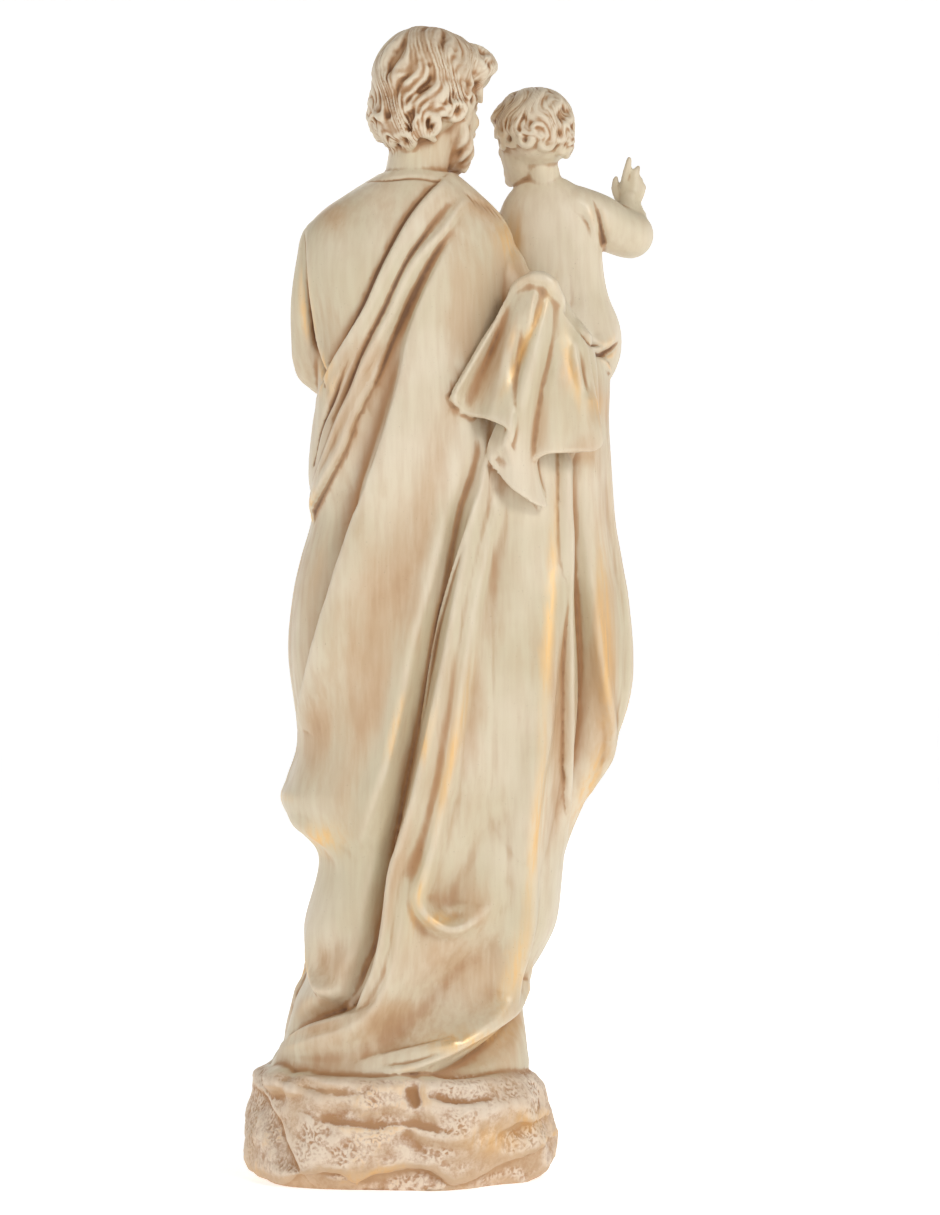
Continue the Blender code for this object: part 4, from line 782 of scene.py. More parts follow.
# Folds carved after the skin is drawn, largest first: ([(across, z, rise)] downwards, left, right). The rise
# is how far the skin is raised there, and left and right are how far it takes to fade on either side.
LARGE_FOLDS = seen_from_behind([
    # The broad panel's left edge, a cliff that sweeps down to the lower left, and the recess beside it.
    ([(-29, 445, 0), (-22, 429, 1.5), (-14, 413, 2.5), (-6, 391, 3.5), (-2, 370, 4.5),
     (6, 338, 6.5), (19, 297, 8), (29, 266, 8), (40, 231, 7), (47, 207, 5), (54, 184, 2)], 2.4, 16),
    ([(-13, 418, 0), (0, 391, -1.5), (6, 367, -3), (15, 338, -4.5), (26, 306, -6),
     (34, 274, -6.5), (44, 242, -5), (50, 215, -2.5), (53, 199, 0)], 9, 4),
    # The deep groove down the middle: its right wall, its floor and the soft ridge on its left.
    ([(-43, 343, 0), (-45, 330, 3), (-42, 311, 4), (-37, 295, 4.5), (-29, 253, 5),
     (-25, 231, 5), (-17, 191, 6), (-8, 151, 7), (2, 115, 7.5), (5, 92, 8), (7, 78, 8), (11, 60, 7),
     (18, 44, 5), (21, 36, 3)], 2.2, 9),
    ([(-42, 338, 0), (-40, 322, -3.5), (-33, 301, -5.5), (-28, 274, -6.5), (-22, 247, -7),
     (-17, 221, -8), (-11, 194, -9), (-5, 167, -10), (0, 140, -10.5), (6, 114, -11), (11, 90, -11),
     (17, 68, -10), (24, 52, -8), (29, 42, -5)], 6, 3.6),
    ([(-42, 338, 0), (-31, 302, 1.6), (-22, 279, 2.2), (-14, 253, 2.8), (-6, 226, 3),
     (-2, 199, 3.2), (5, 170, 3.2), (12, 151, 3), (18, 134, 2), (24, 114, 0)], 7, 4),
    # The ridge that ends in a hanging loop above the ankles, and the hollow inside the loop.
    ([(-53, 311, 0), (-50, 295, 2.8), (-44, 274, 3.4), (-38, 247, 3.8), (-34, 221, 4),
     (-30, 189, 4.4), (-26, 159, 4.8), (-22, 144, 5), (-18, 124, 5.6), (-13, 105, 6.6), (-11, 97, 7),
     (-15, 88, 7), (-23, 82, 6.6), (-30, 81, 5.4), (-37, 84, 3.8), (-45, 90, 2.2), (-52, 97, 0.9),
     (-58, 104, 0)], 4.5, 5),
    ([(-53, 146, 0), (-48, 134, -2), (-41, 121, -3.6), (-33, 107, -4.6), (-28, 96, -4.6),
     (-28, 90, -2)], 9, 10),
    # Soft valley at the top of the panel, between the middle and the right.
    ([(-53, 322, -1.5), (-52, 301, -2.5), (-50, 278, -2), (-48, 253, -1),
     (-48, 231, 0)], 8, 10),
    # The right-hand ridge that sweeps down and to the left into the train, and the panel's edge on its right.
    ([(-89, 322, 1), (-85, 285, 2.5), (-81, 253, 4), (-77, 207, 5), (-74, 176, 5.6),
     (-70, 158, 6), (-67, 124, 6.6), (-67, 103, 7), (-66, 85, 7.5), (-62, 68, 8), (-58, 56, 8.5),
     (-54, 42, 8.5), (-45, 30, 8), (-30, 20, 7), (-16, 12, 5), (0, 8, 3)], 8, 6),
    ([(-89, 326, 3), (-89, 306, 5), (-90, 285, 6), (-90, 253, 7), (-91, 216, 7.5),
     (-90, 176, 7), (-88, 146, 5), (-87, 127, 2)], 9, 1.8),
    # The recess right of the panel, and the strip at the silhouette beyond it.
    ([(-94, 326, -3), (-95, 295, -5.5), (-96, 253, -8), (-98, 216, -9), (-98, 189, -8.5),
     (-95, 162, -6.5), (-91, 135, -3), (-89, 124, 0)], 3, 8),
    ([(-98, 322, 0), (-99, 285, 1.6), (-101, 253, 3.2), (-105, 220, 4.4), (-109, 198, 4.6),
     (-111, 182, 4), (-109, 167, 3), (-106, 151, 1.5)], 3, 6),
    # The train's edge over the tunic's hem at the lower right, and the recess under it.
    ([(-70, 63, 0), (-68, 51, 3), (-63, 43, 5), (-57, 34, 7), (-45, 25, 8), (-32, 17, 7.5),
     (-19, 10, 5.5), (-5, 6, 3.5), (9, 4, 1.5)], 9, 2),
    ([(-75, 47, -2), (-68, 38, -5), (-60, 27, -7), (-49, 19, -8), (-37, 12, -6.5),
     (-27, 8, -3.5), (-17, 5, 0)], 3, 7),
    # The wide bowl between the train's crests, and the left crest, which spreads to the corner.
    ([(-54, 81, 0), (-46, 68, -4.5), (-35, 58, -7.5), (-22, 45, -9), (-9, 34, -8),
     (3, 25, -5.5), (13, 19, -2)], 12, 12),
    ([(-4, 103, 3), (0, 76, 4), (4, 55, 5), (12, 37, 6), (26, 26, 6.5), (42, 20, 6),
     (52, 15, 4.5), (61, 12, 2)], 5, 8),
    ([(15, 39, 2), (21, 36, 4), (32, 32, 5), (44, 28, 5), (53, 22, 4), (60, 17, 2)], 1.8, 7),
    # The flap of the mantle's corner over the ankle, and the dark gap under it.
    ([(15, 55, 0), (21, 46, -6), (28, 41, -9.5), (36, 38, -10.5), (44, 35, -9), (52, 29, -5.5),
     (57, 23, -2)], 5, 4),
    ([(49, 76, 1), (48, 66, 3), (45, 53, 5), (41, 44, 6), (36, 41, 5.5), (29, 45, 3.5),
     (22, 53, 1.5), (17, 62, 0)], 1.8, 8),
    ([(11, 92, 0), (21, 81, -2.2), (31, 72, -2.6), (41, 63, -2), (47, 54, 0)], 9, 8),
    ([(60, 136, 1), (51, 134, 3), (40, 127, 3), (29, 115, 1.5), (23, 102, 0)], 6, 5),
])
BACK_FOLDS = seen_from_behind([
    # The mantle's edge from the neck to the left hip, with the tunic sunk beside it.
    ([(-24, 475, 0.8), (-22, 472, 2.2), (-15, 465, 3), (-6, 453, 3.4), (2, 438, 3.6),
     (9, 424, 3.8), (16, 408, 4), (24, 394, 4), (33, 379, 3.6), (40, 366, 2.4)], 1.3, 10),
    ([(-19, 472, -0.5), (-11, 462, -1), (-2, 450, -1.5), (6, 436, -1.8), (13, 421, -2),
     (20, 406, -2.2), (28, 391, -2), (36, 379, -1)], 5, 1.2),
    # The bundle of folds under that edge, down to its point at the hip.
    ([(19, 403, -1), (24, 385, -2.4), (30, 371, -2.8), (35, 359, -2.8), (42, 344, -2.4),
     (46, 325, -1.5)], 1.3, 1.7),
    ([(-37, 466, 0), (-32, 461, 1.4), (-22, 446, 2.4), (-11, 434, 2.8), (-3, 421, 3),
     (5, 402, 3.4), (17, 379, 3.8), (23, 363, 3.8), (30, 349, 3.6), (37, 332, 3), (43, 317, 2),
     (46, 306, 1)], 2.6, 3.2),
    ([(-25, 461, -0.6), (-16, 449, -1.8), (-6, 434, -2.4), (2, 417, -2.6), (12, 397, -2.8),
     (20, 380, -2.6), (28, 364, -2.2), (35, 349, -1)], 2.2, 2.2),
    ([(-28, 449, 0), (-18, 433, -1.8), (-9, 416, -2.4), (-1, 399, -2.6), (6, 382, -2),
     (12, 368, -1)], 2.4, 3),
    ([(6, 389, 0), (11, 374, 1.6), (16, 365, 2.4), (24, 349, 3.4), (29, 334, 4),
     (37, 318, 4.6), (43, 306, 4.4), (46, 299, 2.4)], 5, 1.7),
    # The thin ridge inside the middle groove.
    ([(-42, 311, 0), (-33, 280, 1.8), (-26, 257, 2), (-19, 231, 1.8), (-15, 205, 1.2),
     (-11, 183, 0)], 1.1, 1.1),
    # Hem folds at the bottom of the train.
    ([(-28, 22, 1.5), (-16, 19, 2.2), (-4, 16, 2.4), (8, 13, 2), (18, 10, 1)], 2.4, 4),
    ([(-26, 18, 0), (-13, 14, -1.4), (0, 11, -1.4), (11, 9, 0)], 2.2, 2.2),
    # Where the sleeve meets the back.
    ([(51, 453, 0), (51, 445, -1), (50, 429, -2.4), (48, 410, -3.4), (45, 391, -4),
     (41, 377, -4), (38, 368, -3)], 3, 1.3),
    ([(49, 447, 0), (48, 429, 1), (46, 410, 1.5), (43, 391, 1.6), (39, 377, 1.2)], 1.3, 4),
    # The neckline.
    ([(17, 475, -0.5), (5, 475, -1.1), (-8, 476, -1.1), (-22, 474, -0.5)], 1.1, 1.1),
    # The hanging cloth's dimple.
    ([(-93, 391, 0), (-93, 381, 1.6), (-95, 370, 1.6), (-98, 360, 0)], 2.4, 2),
    ([(-96, 386, 0), (-98, 376, -1.8), (-99, 367, -1.8), (-101, 358, 0)], 3, 3.4),
    # The child's tunic ends in a rounded edge over the mantle.
    ([(-94, 398, 0), (-101, 387, -2.6), (-108, 384, -3), (-114, 387, -2.4),
     (-119, 394, 0)], 1.8, 1.8),
    ([(-100, 393, 1), (-108, 389, 1.8), (-114, 393, 1)], 2, 4),
    ([(-104, 383, 0), (-109, 379, 1.6), (-113, 375, 1.4), (-113, 369, 0)], 2.6, 2.6),
])
# Breaks in the rock behind.
ROCK_BREAKS = seen_from_behind([
    # The ledge half way down the rock, its hollow, and a second ledge on the right.
    ([(44, -17, -1), (29, -19, -2.5), (15, -21, -3), (1, -20, -3), (-13, -21, -2.6),
     (-26, -24, -1.5), (-37, -23, 0)], 1.6, 10),
    ([(1, -23, -1), (-4, -26, -3), (-11, -32, -2.4), (-15, -36, -1)], 4, 5),
    ([(-53, -28, -1), (-59, -26, -3), (-67, -24, -3.4), (-78, -22, -2)], 9, 1.4),
    # The smooth slanted facets that undercut its lower edge.
    ([(53, -51, -2), (46, -48, -4.5), (29, -47, -4.5), (24, -52, -4), (17, -51, -4.5),
     (10, -48, -5), (-11, -45, -5.5), (-20, -49, -5), (-29, -54, -3.5), (-40, -52, -3),
     (-53, -48, -3.5), (-69, -41, -3), (-81, -35, -1)], 15, 1.5),
    # The hollow facet at its left end.
    ([(84, -6, -1), (77, -9, -3), (70, -14, -4.6), (65, -22, -5), (61, -30, -4.8),
     (57, -40, -4), (52, -48, -2)], 11, 1.5),
    # The cleft in its top edge, and the recesses along the hem.
    ([(-9, 3, -1), (-7, -3, -4.5), (-9, -7, -4.5), (-11, -11, -1)], 4.5, 3.5),
    ([(-16, -5, -1), (-25, -7, -2.8), (-35, -9, -2.8), (-49, -7, -1)], 1.5, 4),
    ([(63, 1, -1), (48, -3, -2.4), (32, -4, -2.4), (18, -3, -1)], 1.6, 4),
    # A break down its right end.
    ([(-73, -5, -1), (-75, -13, -2.4), (-74, -23, -1)], 5, 1.6),
])


def crinkles():
    """Fine creases where the mantle is drawn over the right shoulder."""
    folds = []
    for k in range(5):
        x, z = -38 - 3.4 * k, 466 - 1.8 * k
        folds.append(("back", [(x + 4, z + 4, 0), (x, z, -1), (x - 4, z - 6, 0)], 1.3, 1.3))
    return folds


def front_folds():
    """The plainer front: a tunic with soft folds to the waist, and the mantle drawn across from the hip."""
    folds = [
        ("front", [(-40, 448, 0), (-22, 452, 2.4), (-6, 449, 2.8), (12, 452, 2.4), (28, 460, 0)],
            2.2, 2.2),
        ("front", [(36, 334, 0), (22, 336, 4), (-8, 342, 5), (-34, 352, 5), (-62, 366, 4)], 7, 2),
    ]
    for k in range(7):
        x = -38 + 13 * k
        lean = 0.35 * (x - 2)
        folds.append(("front", [(x * 0.55, 440, 0), (x * 0.8 + lean * 0.1, 410, 1.5),
            (x + lean * 0.2, 380, 2.4), (x + lean * 0.3, 350, 1)], 3, 4))
    for k in range(5):
        drop = 18 + 26 * k
        folds.append(("front", [(-58 - 2 * k, 352 - 10 * k, 0), (-40, 338 - drop * 0.8, 3.4),
            (-6, 322 - drop, 4.2), (26, 322 - drop * 0.9, 3.4), (50, 330 - drop * 0.7, 0)], 7, 4))
    for k in range(5):
        x = -36 + 18 * k
        folds.append(("front", [(x * 0.7 - 16, 236 - 8 * k, 0), (x * 0.85 - 6, 180, 3.6),
            (x + 2, 120, 4.6), (x + 6, 66, 4)], 7, 4.4))
    # The mantle's hem across the shins, and the tunic's folds below it.
    folds.append(("front", [(-74, 84, 2), (-40, 62, 3.6), (0, 56, 4), (36, 62, 4), (60, 44, 3)], 8, 1.8))
    for k in range(9):
        x = -56 + 14 * k
        folds.append(("front", [(x * 0.94, 54, 0), (x, 30, 3.4), (x * 1.05, 4, 4.5), (x * 1.08, -8, 3)],
            3.6, 2.4))
    return folds


def side_folds():
    """Folds on the left side and down the mantle under the child, fading before they reach the back."""
    folds = []
    for k in range(3):
        y = -34 + 16 * k
        folds.append(("left", [(y * 0.5, 318, 0), (y * 0.8, 270, 1.6), (y, 210, 2.2), (y * 1.1, 160, 2),
            (y, 128, 0)], 5, 4))
    for k in range(2):
        y = -30 + 17 * k
        folds.append(("left", [(y * 0.8, 118, 0), (y, 80, 3), (y * 1.1, 34, 4), (y * 1.1, 4, 3)], 4, 3))
        folds.append(("right", [(-38 + 18 * k, 96, 0), (-40 + 18 * k, 50, 3.4), (-42 + 19 * k, 4, 4)],
            4, 3))
    for k in range(4):
        y = -48 + 14 * k
        folds.append(("right", [(y * 0.9, 352, 0), (y, 300, 3), (y * 0.9, 240, 3.6), (y * 0.7, 190, 3),
            (y * 0.5, 150, 0)], 4.4, 3.4))
    return folds


def child_folds():
    folds = []
    for k in range(4):
        x = -66 - 9 * k
        folds.append(("back", [(x * 0.3 - 54, 462, 0), (x * 0.8 - 17, 432, -1.2), (x, 404, -1.2),
            (x, 388, 0)], 4.5, 4.5))
        folds.append(("front", [(x * 0.5 - 40, 458, 0), (x * 0.9 - 8, 430, 1.5), (x, 404, 2),
            (x, 388, 0)], 2.4, 2.4))
    # The sleeve's seam.
    folds.append(("back", [(-102, 471, 0), (-106, 463, -1.4), (-108, 453, -2), (-110, 445, -1.4)], 2, 2))
    folds.append(("back", [(-99, 466, 0), (-103, 455, 1.4), (-105, 446, 1)], 2, 2.4))
    return folds


def reskinned(mesh, voxel, smooth):
    """A new even skin over the mesh."""
    mesh = modified(mesh, "REMESH", mode="VOXEL", voxel_size=voxel / MM, use_smooth_shade=True)
    return modified(mesh, "SMOOTH", factor=0.5, iterations=smooth)


def triangle_count(mesh):
    mesh.calc_loop_triangles()
    return len(mesh.loop_triangles)


def to_metres(mesh):
    """From the figure's millimetres above the rock to metres above the rock's underside, cut flat there."""
    mesh.transform(Matrix.Translation((0, 0, ROCK_HEIGHT)) @ Matrix.Scale(MM, 4))
    cut = bmesh.new()
    cut.from_mesh(mesh)
    geometry = cut.verts[:] + cut.edges[:] + cut.faces[:]
    bmesh.ops.bisect_plane(cut, geom=geometry, plane_co=(0, 0, 0), plane_no=(0, 0, -1), clear_outer=True)
    rim = [e for e in cut.edges if e.is_boundary]
    bmesh.ops.contextual_create(cut, geom=rim)
    bmesh.ops.triangulate(cut, faces=[f for f in cut.faces if len(f.verts) > 4])
    cut.to_mesh(mesh)
    cut.free()


# Fine relief, paint masks and the finished mesh
FINE_VOXEL = 0.0009  # metres
FINE_TRIANGLES = 196000
DEEPER = 1.15  # for the first skin's large folds, which the second skin softens again
FINE_STEP = 2.0  # between the points of a fold's line, in millimetres like the rest below
ROCK_ROUGHNESS = ((30, 2.6), (12, 1.0), (6, 0.5))  # lump size and height, coarse to fine
WORM_HEIGHT = 0.55


def spread(values, edges, rounds):
    """Averages a value per vertex with its neighbours', a number of rounds."""
    count = len(values)
    degree = np.maximum(np.bincount(edges.ravel(), minlength=count), 1)
    a, b = edges[:, 0], edges[:, 1]
    columns = np.atleast_2d(values.T).T
    for _ in range(rounds):
        total = np.empty_like(columns)
        for k in range(columns.shape[1]):
            total[:, k] = np.bincount(a, columns[b, k], count) + np.bincount(b, columns[a, k], count)
        columns = 0.5 * columns + 0.5 * total / degree[:, None]
    return columns if values.ndim > 1 else columns[:, 0]


def paint_masks(mesh):
    """How deep each point lies in fine grooves, valleys and broad hollows, and which zone it is in."""
    co, no = read(mesh), normals(mesh)
    edges = table_of(mesh.edges, "vertices", 2, np.int32)
    near = spread(co, edges, 8)
    far = spread(near, edges, 70)
    farther = spread(far, edges, 260)
    groove = ((near - co) * no).sum(1)
    valley = ((far - near) * no).sum(1)
    hollow = ((farther - far) * no).sum(1)
    hair, strand = hair_masks(co)
    masks = {
        "groove": groove,
        "valley": valley,
        "hollow": hollow,
        "hair": hair,
        "strand": strand,
        "stone": on_rock(co),
        # The rock's downward-facing undersides, where tan is painted that is partly their own colour and
        # partly shade.
        "under": on_rock(co) * np.clip((-0.12 - spread(no, edges, 12)[:, 2]) / 0.2, 0, 1),
        # Wash patches, which in the recesses also paint the shade, and gold streaks, partly painted
        # highlights.
        "wash_and_shade": spots(co, no, WASH_AND_SHADE_SPOTS),
        "gilt_and_highlight": spots(co, no, GILT_AND_HIGHLIGHT_STREAKS),
    }
    for name, values in masks.items():
        layer = mesh.attributes.new(name, "FLOAT", "POINT")
        layer.data.foreach_set("value", values.astype(np.float32))


# Soft patches on the back, (x, z, half width, half height, lean): where the wash was left on, most of them in
# recesses, hollows and under edges, where they also paint the shade; and where gold lies on the folds and the
# rock, partly gilding and partly painted highlights.
WASH_AND_SHADE_SPOTS = (
    (8, 246, 17, 72, -0.26),
    (-14, 300, 9, 60, -0.2),
    (30, 350, 9, 38, -0.3),
    (44, 178, 10, 26, -0.2),
    (36, 456, 9, 12, 0.2),
    (-46, 462, 14, 7, 0),
    (-64, 428, 9, 16, 0.3),
    (-62, 446, 5, 24, 0),
    (-109, 226, 6, 44, 0),
    (-30, 62, 34, 20, 0.5),
    (6, 34, 34, 12, 0.3),
    (-90, 372, 7, 12, 0),
    (-48, 372, 7, 22, -0.5),
    (-74, 344, 5, 22, -0.1),
    (-84, 190, 7, 44, -0.05),
    (14, 200, 9, 60, -0.26),
    (0, 120, 6, 50, -0.2),
    (-106, 356, 8, 10, 0),
    (-98, 330, 12, 5, 0),
    (34, 60, 16, 14, 0),
    (42, 33, 17, 11, 0.6),
    (38, 38, 10, 6, 0.6),
    (-60, 28, 6, 22, 0),
    (-40, 92, 12, 16, 0),
)
GILT_AND_HIGHLIGHT_STREAKS = (
    (-28, 172, 2.6, 34, -0.22),
    (-11, 100, 3, 14, -0.2),
    (-20, 86, 8, 3, -0.5),
    (-79, 240, 2.6, 62, -0.06),
    (-72, 130, 3, 40, -0.10),
    (-109, 232, 4, 46, 0.04),
    (41, 127, 10, 7, 0),
    (-66, 386, 2.4, 24, -0.45),
    (-91, 374, 2.4, 15, 0.2),
    (-58, 446, 6, 12, 0),
    (-61, 60, 4, 22, -0.28),
    (-36, 22, 18, 5, -1.2),
    (-101, 154, 4, 20, -0.35),
    (-106, 356, 7, 3, 0),
    (-50, -30, 14, 8, 0.4),
    (-68, -22, 8, 7, 0.4),
)


def spots(co, no, table):
    """How strongly each point of the back lies in one of the soft patches."""
    strongest = np.zeros(len(co))
    for x, z, wide, high, lean in table:
        across = (co[:, 0] - x - lean * (co[:, 2] - z)) / wide
        strongest = np.maximum(strongest, np.exp(-(across**2) - ((co[:, 2] - z) / high) ** 2))
    return strongest * np.clip(no[:, 1] * 2 + 0.6, 0, 1)


HEADS_OF_HAIR = (
    (SAINT_HEAD, SAINT_SHELL, SAINT_LENGTHS, SAINT_STYLE, 58),
    (CHILD_HEAD, CHILD_SHELL, CHILD_LENGTHS, CHILD_STYLE, 42),
)
STRAND_HEIGHT = 0.30
BEARD_REACH = 0.62  # half the head's box, in head heights


def below_crown(down):
    """0 on the smooth crown and 1 from the ears down."""
    return np.clip((down - 45) / 55, 0, 1)


def hair_flow(co, head, shell, lengths, style):
    """For each point: whether it lies on this head's hair, where round the crown its strand set out from, in
    radians, and how far below the crown it is, in degrees."""
    local = (co - head["centre"]) @ head_turn(head) / head["height"]
    way = local - HAIR_CENTRE
    far = np.linalg.norm(way, axis=1)
    azimuth = np.degrees(np.arctan2(way[:, 0], way[:, 1]))
    down = np.degrees(np.arccos(np.clip(way[:, 2] / np.maximum(far, 1e-6), -1, 1)))
    ends = hair_end(azimuth, *lengths)
    inside = np.full(len(co), 9.0)
    for centre, radii in shell:
        inside = np.minimum(inside, (((local - centre) / np.asarray(radii)) ** 2).sum(1))
    on_hair = np.clip((inside - 0.93) / 0.06, 0, 1) * (inside < 2.2) * (far < 0.75)
    on_hair = on_hair * np.clip((ends + 6 - down) / 8, 0, 1)
    share = np.clip((down - 5) / (ends - 5), 0, 1)
    start = azimuth - hair_sway(azimuth, share, style) / np.maximum(np.sin(np.radians(down)), 0.5)
    return on_hair, np.radians(start), down


def comb_hair(mesh):
    """Fine strands that follow the waves of the locks, each broken up by a second, wider ripple."""
    co, no = read(mesh), normals(mesh)
    for head, shell, lengths, style, count in HEADS_OF_HAIR:
        on_hair, start, down = hair_flow(co, head, shell, lengths, style)
        bend = 2.2 * soft_noise(co, 7, 3)
        ripple = np.cos(count * start + bend) + 0.7 * np.cos(round(count * 0.62) * start + 2)
        uneven = np.clip(0.6 + 0.9 * soft_noise(co, 9, 4), 0.1, 1) * (0.45 + 0.55 * below_crown(down))
        co += no * (on_hair * uneven * STRAND_HEIGHT * ripple)[:, None]
    write(mesh, co)


def hair_masks(co):
    """How much hair paint each point has, which is most low down on the curls and the beard and none off the
    hair, and where round the crown its strand starts."""
    mask, strand = np.zeros(len(co)), np.zeros(len(co))
    for head, shell, lengths, style, count in HEADS_OF_HAIR:
        on_hair, start, down = hair_flow(co, head, shell, lengths, style)
        mask = np.maximum(mask, on_hair * (0.6 + 0.4 * below_crown(down)))
        strand = np.where(on_hair > 0, start, strand)
    local = (co - SAINT_HEAD["centre"]) @ head_turn(SAINT_HEAD) / SAINT_HEAD["height"]
    below_lips = np.clip((-0.27 - local[:, 2]) / 0.05, 0, 1)
    in_front = np.clip((-0.04 - local[:, 1]) / 0.05, 0, 1)
    beard = below_lips * in_front * (np.abs(local).max(1) < BEARD_REACH)
    return np.maximum(mask, beard), strand


def on_rock(co):
    """1 on the rock and 0 above it, with a ragged edge where it rises against the hem."""
    return np.clip((3.5 + 1.5 * soft_noise(co, 7, 41) - co[:, 2]) / 1.5, 0, 1)


def stucco(mesh):
    """The rock's rough skin: short worm-like ridges, thicker in patches, and none on its smooth facets."""
    co, no = read(mesh), normals(mesh)
    rock_part = on_rock(co) * np.clip((no[:, 2] + 0.32) / 0.2, 0, 1)
    patch = np.clip(0.55 + 1.3 * soft_noise(co, 21, 21), 0.10, 1)
    bent = co + 1.6 * np.stack([soft_noise(co, 4, 31), soft_noise(co, 4, 32), soft_noise(co, 4, 33)], 1)
    worms = 0.35 - np.minimum(np.abs(soft_noise(bent, 3.0, 22)) * 2.6, 1)
    co += no * (rock_part * patch * WORM_HEIGHT * worms)[:, None]
    write(mesh, co)


def fine_statue():
    clay = Clay()
    saint_body(clay)
    child_body(clay)
    cloth_end(clay)
    heads(clay)
    limbs(clay)
    rock(clay)
    mesh = reskinned(clay.mesh("skin"), FINE_VOXEL, smooth=2)
    carve(mesh, LARGE_FOLDS, deeper=DEEPER)
    mesh = reskinned(mesh, FINE_VOXEL, smooth=4)
    carve(mesh, BACK_FOLDS + ROCK_BREAKS + crinkles() + front_folds() + side_folds() + child_folds(),
        spacing=FINE_STEP)
    mesh = modified(mesh, "SMOOTH", factor=0.5, iterations=2)
    comb_hair(mesh)
    roughen_rock(mesh, ROCK_ROUGHNESS)
    stucco(mesh)
    paint_masks(mesh)
    mesh = modified(mesh, "DECIMATE", ratio=FINE_TRIANGLES / triangle_count(mesh),
        use_collapse_triangulate=True)
    to_metres(mesh)
    mesh.shade_smooth()
    return mesh


# Materials
def colour(red, green, blue):
    """A shader colour from 0 to 255 screen values."""
    share = [c / 255 for c in (red, green, blue)]
    return [c / 12.92 if c <= 0.04045 else ((c + 0.055) / 1.055) ** 2.4 for c in share] + [1]


IVORY = colour(205, 192, 162)
CREAM = colour(222, 208, 184)
BLUSH = colour(198, 166, 130)
# Brown wash; in the grooves, valleys and hollows it also paints their shade.
WASH_AND_SHADE = colour(168, 124, 82)
DEEP_WASH_AND_SHADE = colour(98, 62, 36)
GOLD = colour(244, 200, 134)
STONE = colour(198, 170, 146)
# A painted highlight for the rock's raised parts and ledges.
STONE_HIGHLIGHT = colour(226, 208, 186)
# Tan for the rock's undercut facets, partly their own colour and partly painted shade.
FACET_TAN_AND_SHADE = colour(184, 150, 112)
FINE_STRANDS = 61.0  # hair lines round a head
BUMP_DEPTH = 0.0004


class Nodes:
    """Short ways to add and join shader nodes."""

    def __init__(self, name):
        self.material = bpy.data.materials.new(name)
        self.material.use_nodes = True
        self.tree = self.material.node_tree
        self.shader = self.tree.nodes["Principled BSDF"]

    def add(self, kind, inputs=(), **settings):
        node = self.tree.nodes.new(kind)
        for key, value in settings.items():
            setattr(node, key, value)
        for socket, value in dict(inputs).items():
            self.put(node.inputs[socket], value)
        return node

    def put(self, socket, value):
        if isinstance(value, bpy.types.NodeSocket):
            self.tree.links.new(value, socket)
        else:
            socket.default_value = value

    def attribute(self, name):
        return self.add("ShaderNodeAttribute", attribute_name=name).outputs["Fac"]

    def ramp(self, value, low, high, to_low=0.0, to_high=1.0):
        inputs = {"Value": value, "From Min": low, "From Max": high, "To Min": to_low, "To Max": to_high}
        return self.add("ShaderNodeMapRange", inputs, interpolation_type="SMOOTHSTEP").outputs["Result"]

    def math(self, operation, a, b=0.0):
        return self.add("ShaderNodeMath", {0: a, 1: b}, operation=operation).outputs[0]

    def plus(self, a, b):
        return self.math("ADD", a, b)

    def times(self, a, b):
        return self.math("MULTIPLY", a, b)

    def uneven(self, value, texture, amount, low=0.3, high=0.7):
        """The value, raised and lowered by up to an amount where a texture says so."""
        return self.plus(value, self.ramp(texture, low, high, -amount, amount))

    def noise(self, place, scale, detail=4.0, rough=0.55, stretch=(1, 1, 1), at=(0, 0, 0)):
        mapped = self.add("ShaderNodeMapping", {"Vector": place, "Scale": stretch,
            "Location": at}).outputs[0]
        inputs = {"Vector": mapped, "Scale": scale, "Detail": detail, "Roughness": rough}
        return self.add("ShaderNodeTexNoise", inputs).outputs["Fac"]

    def mix(self, share, a, b):
        node = self.add("ShaderNodeMix", data_type="RGBA")
        self.put(node.inputs["Factor"], share)
        self.put(node.inputs[6], a)
        self.put(node.inputs[7], b)
        return node.outputs[2]

    def coats(self, paint, *coats):
        """Coats of paint, each a share and a colour, laid over the paint in turn."""
        for share, tint in coats:
            paint = self.mix(share, paint, tint)
        return paint


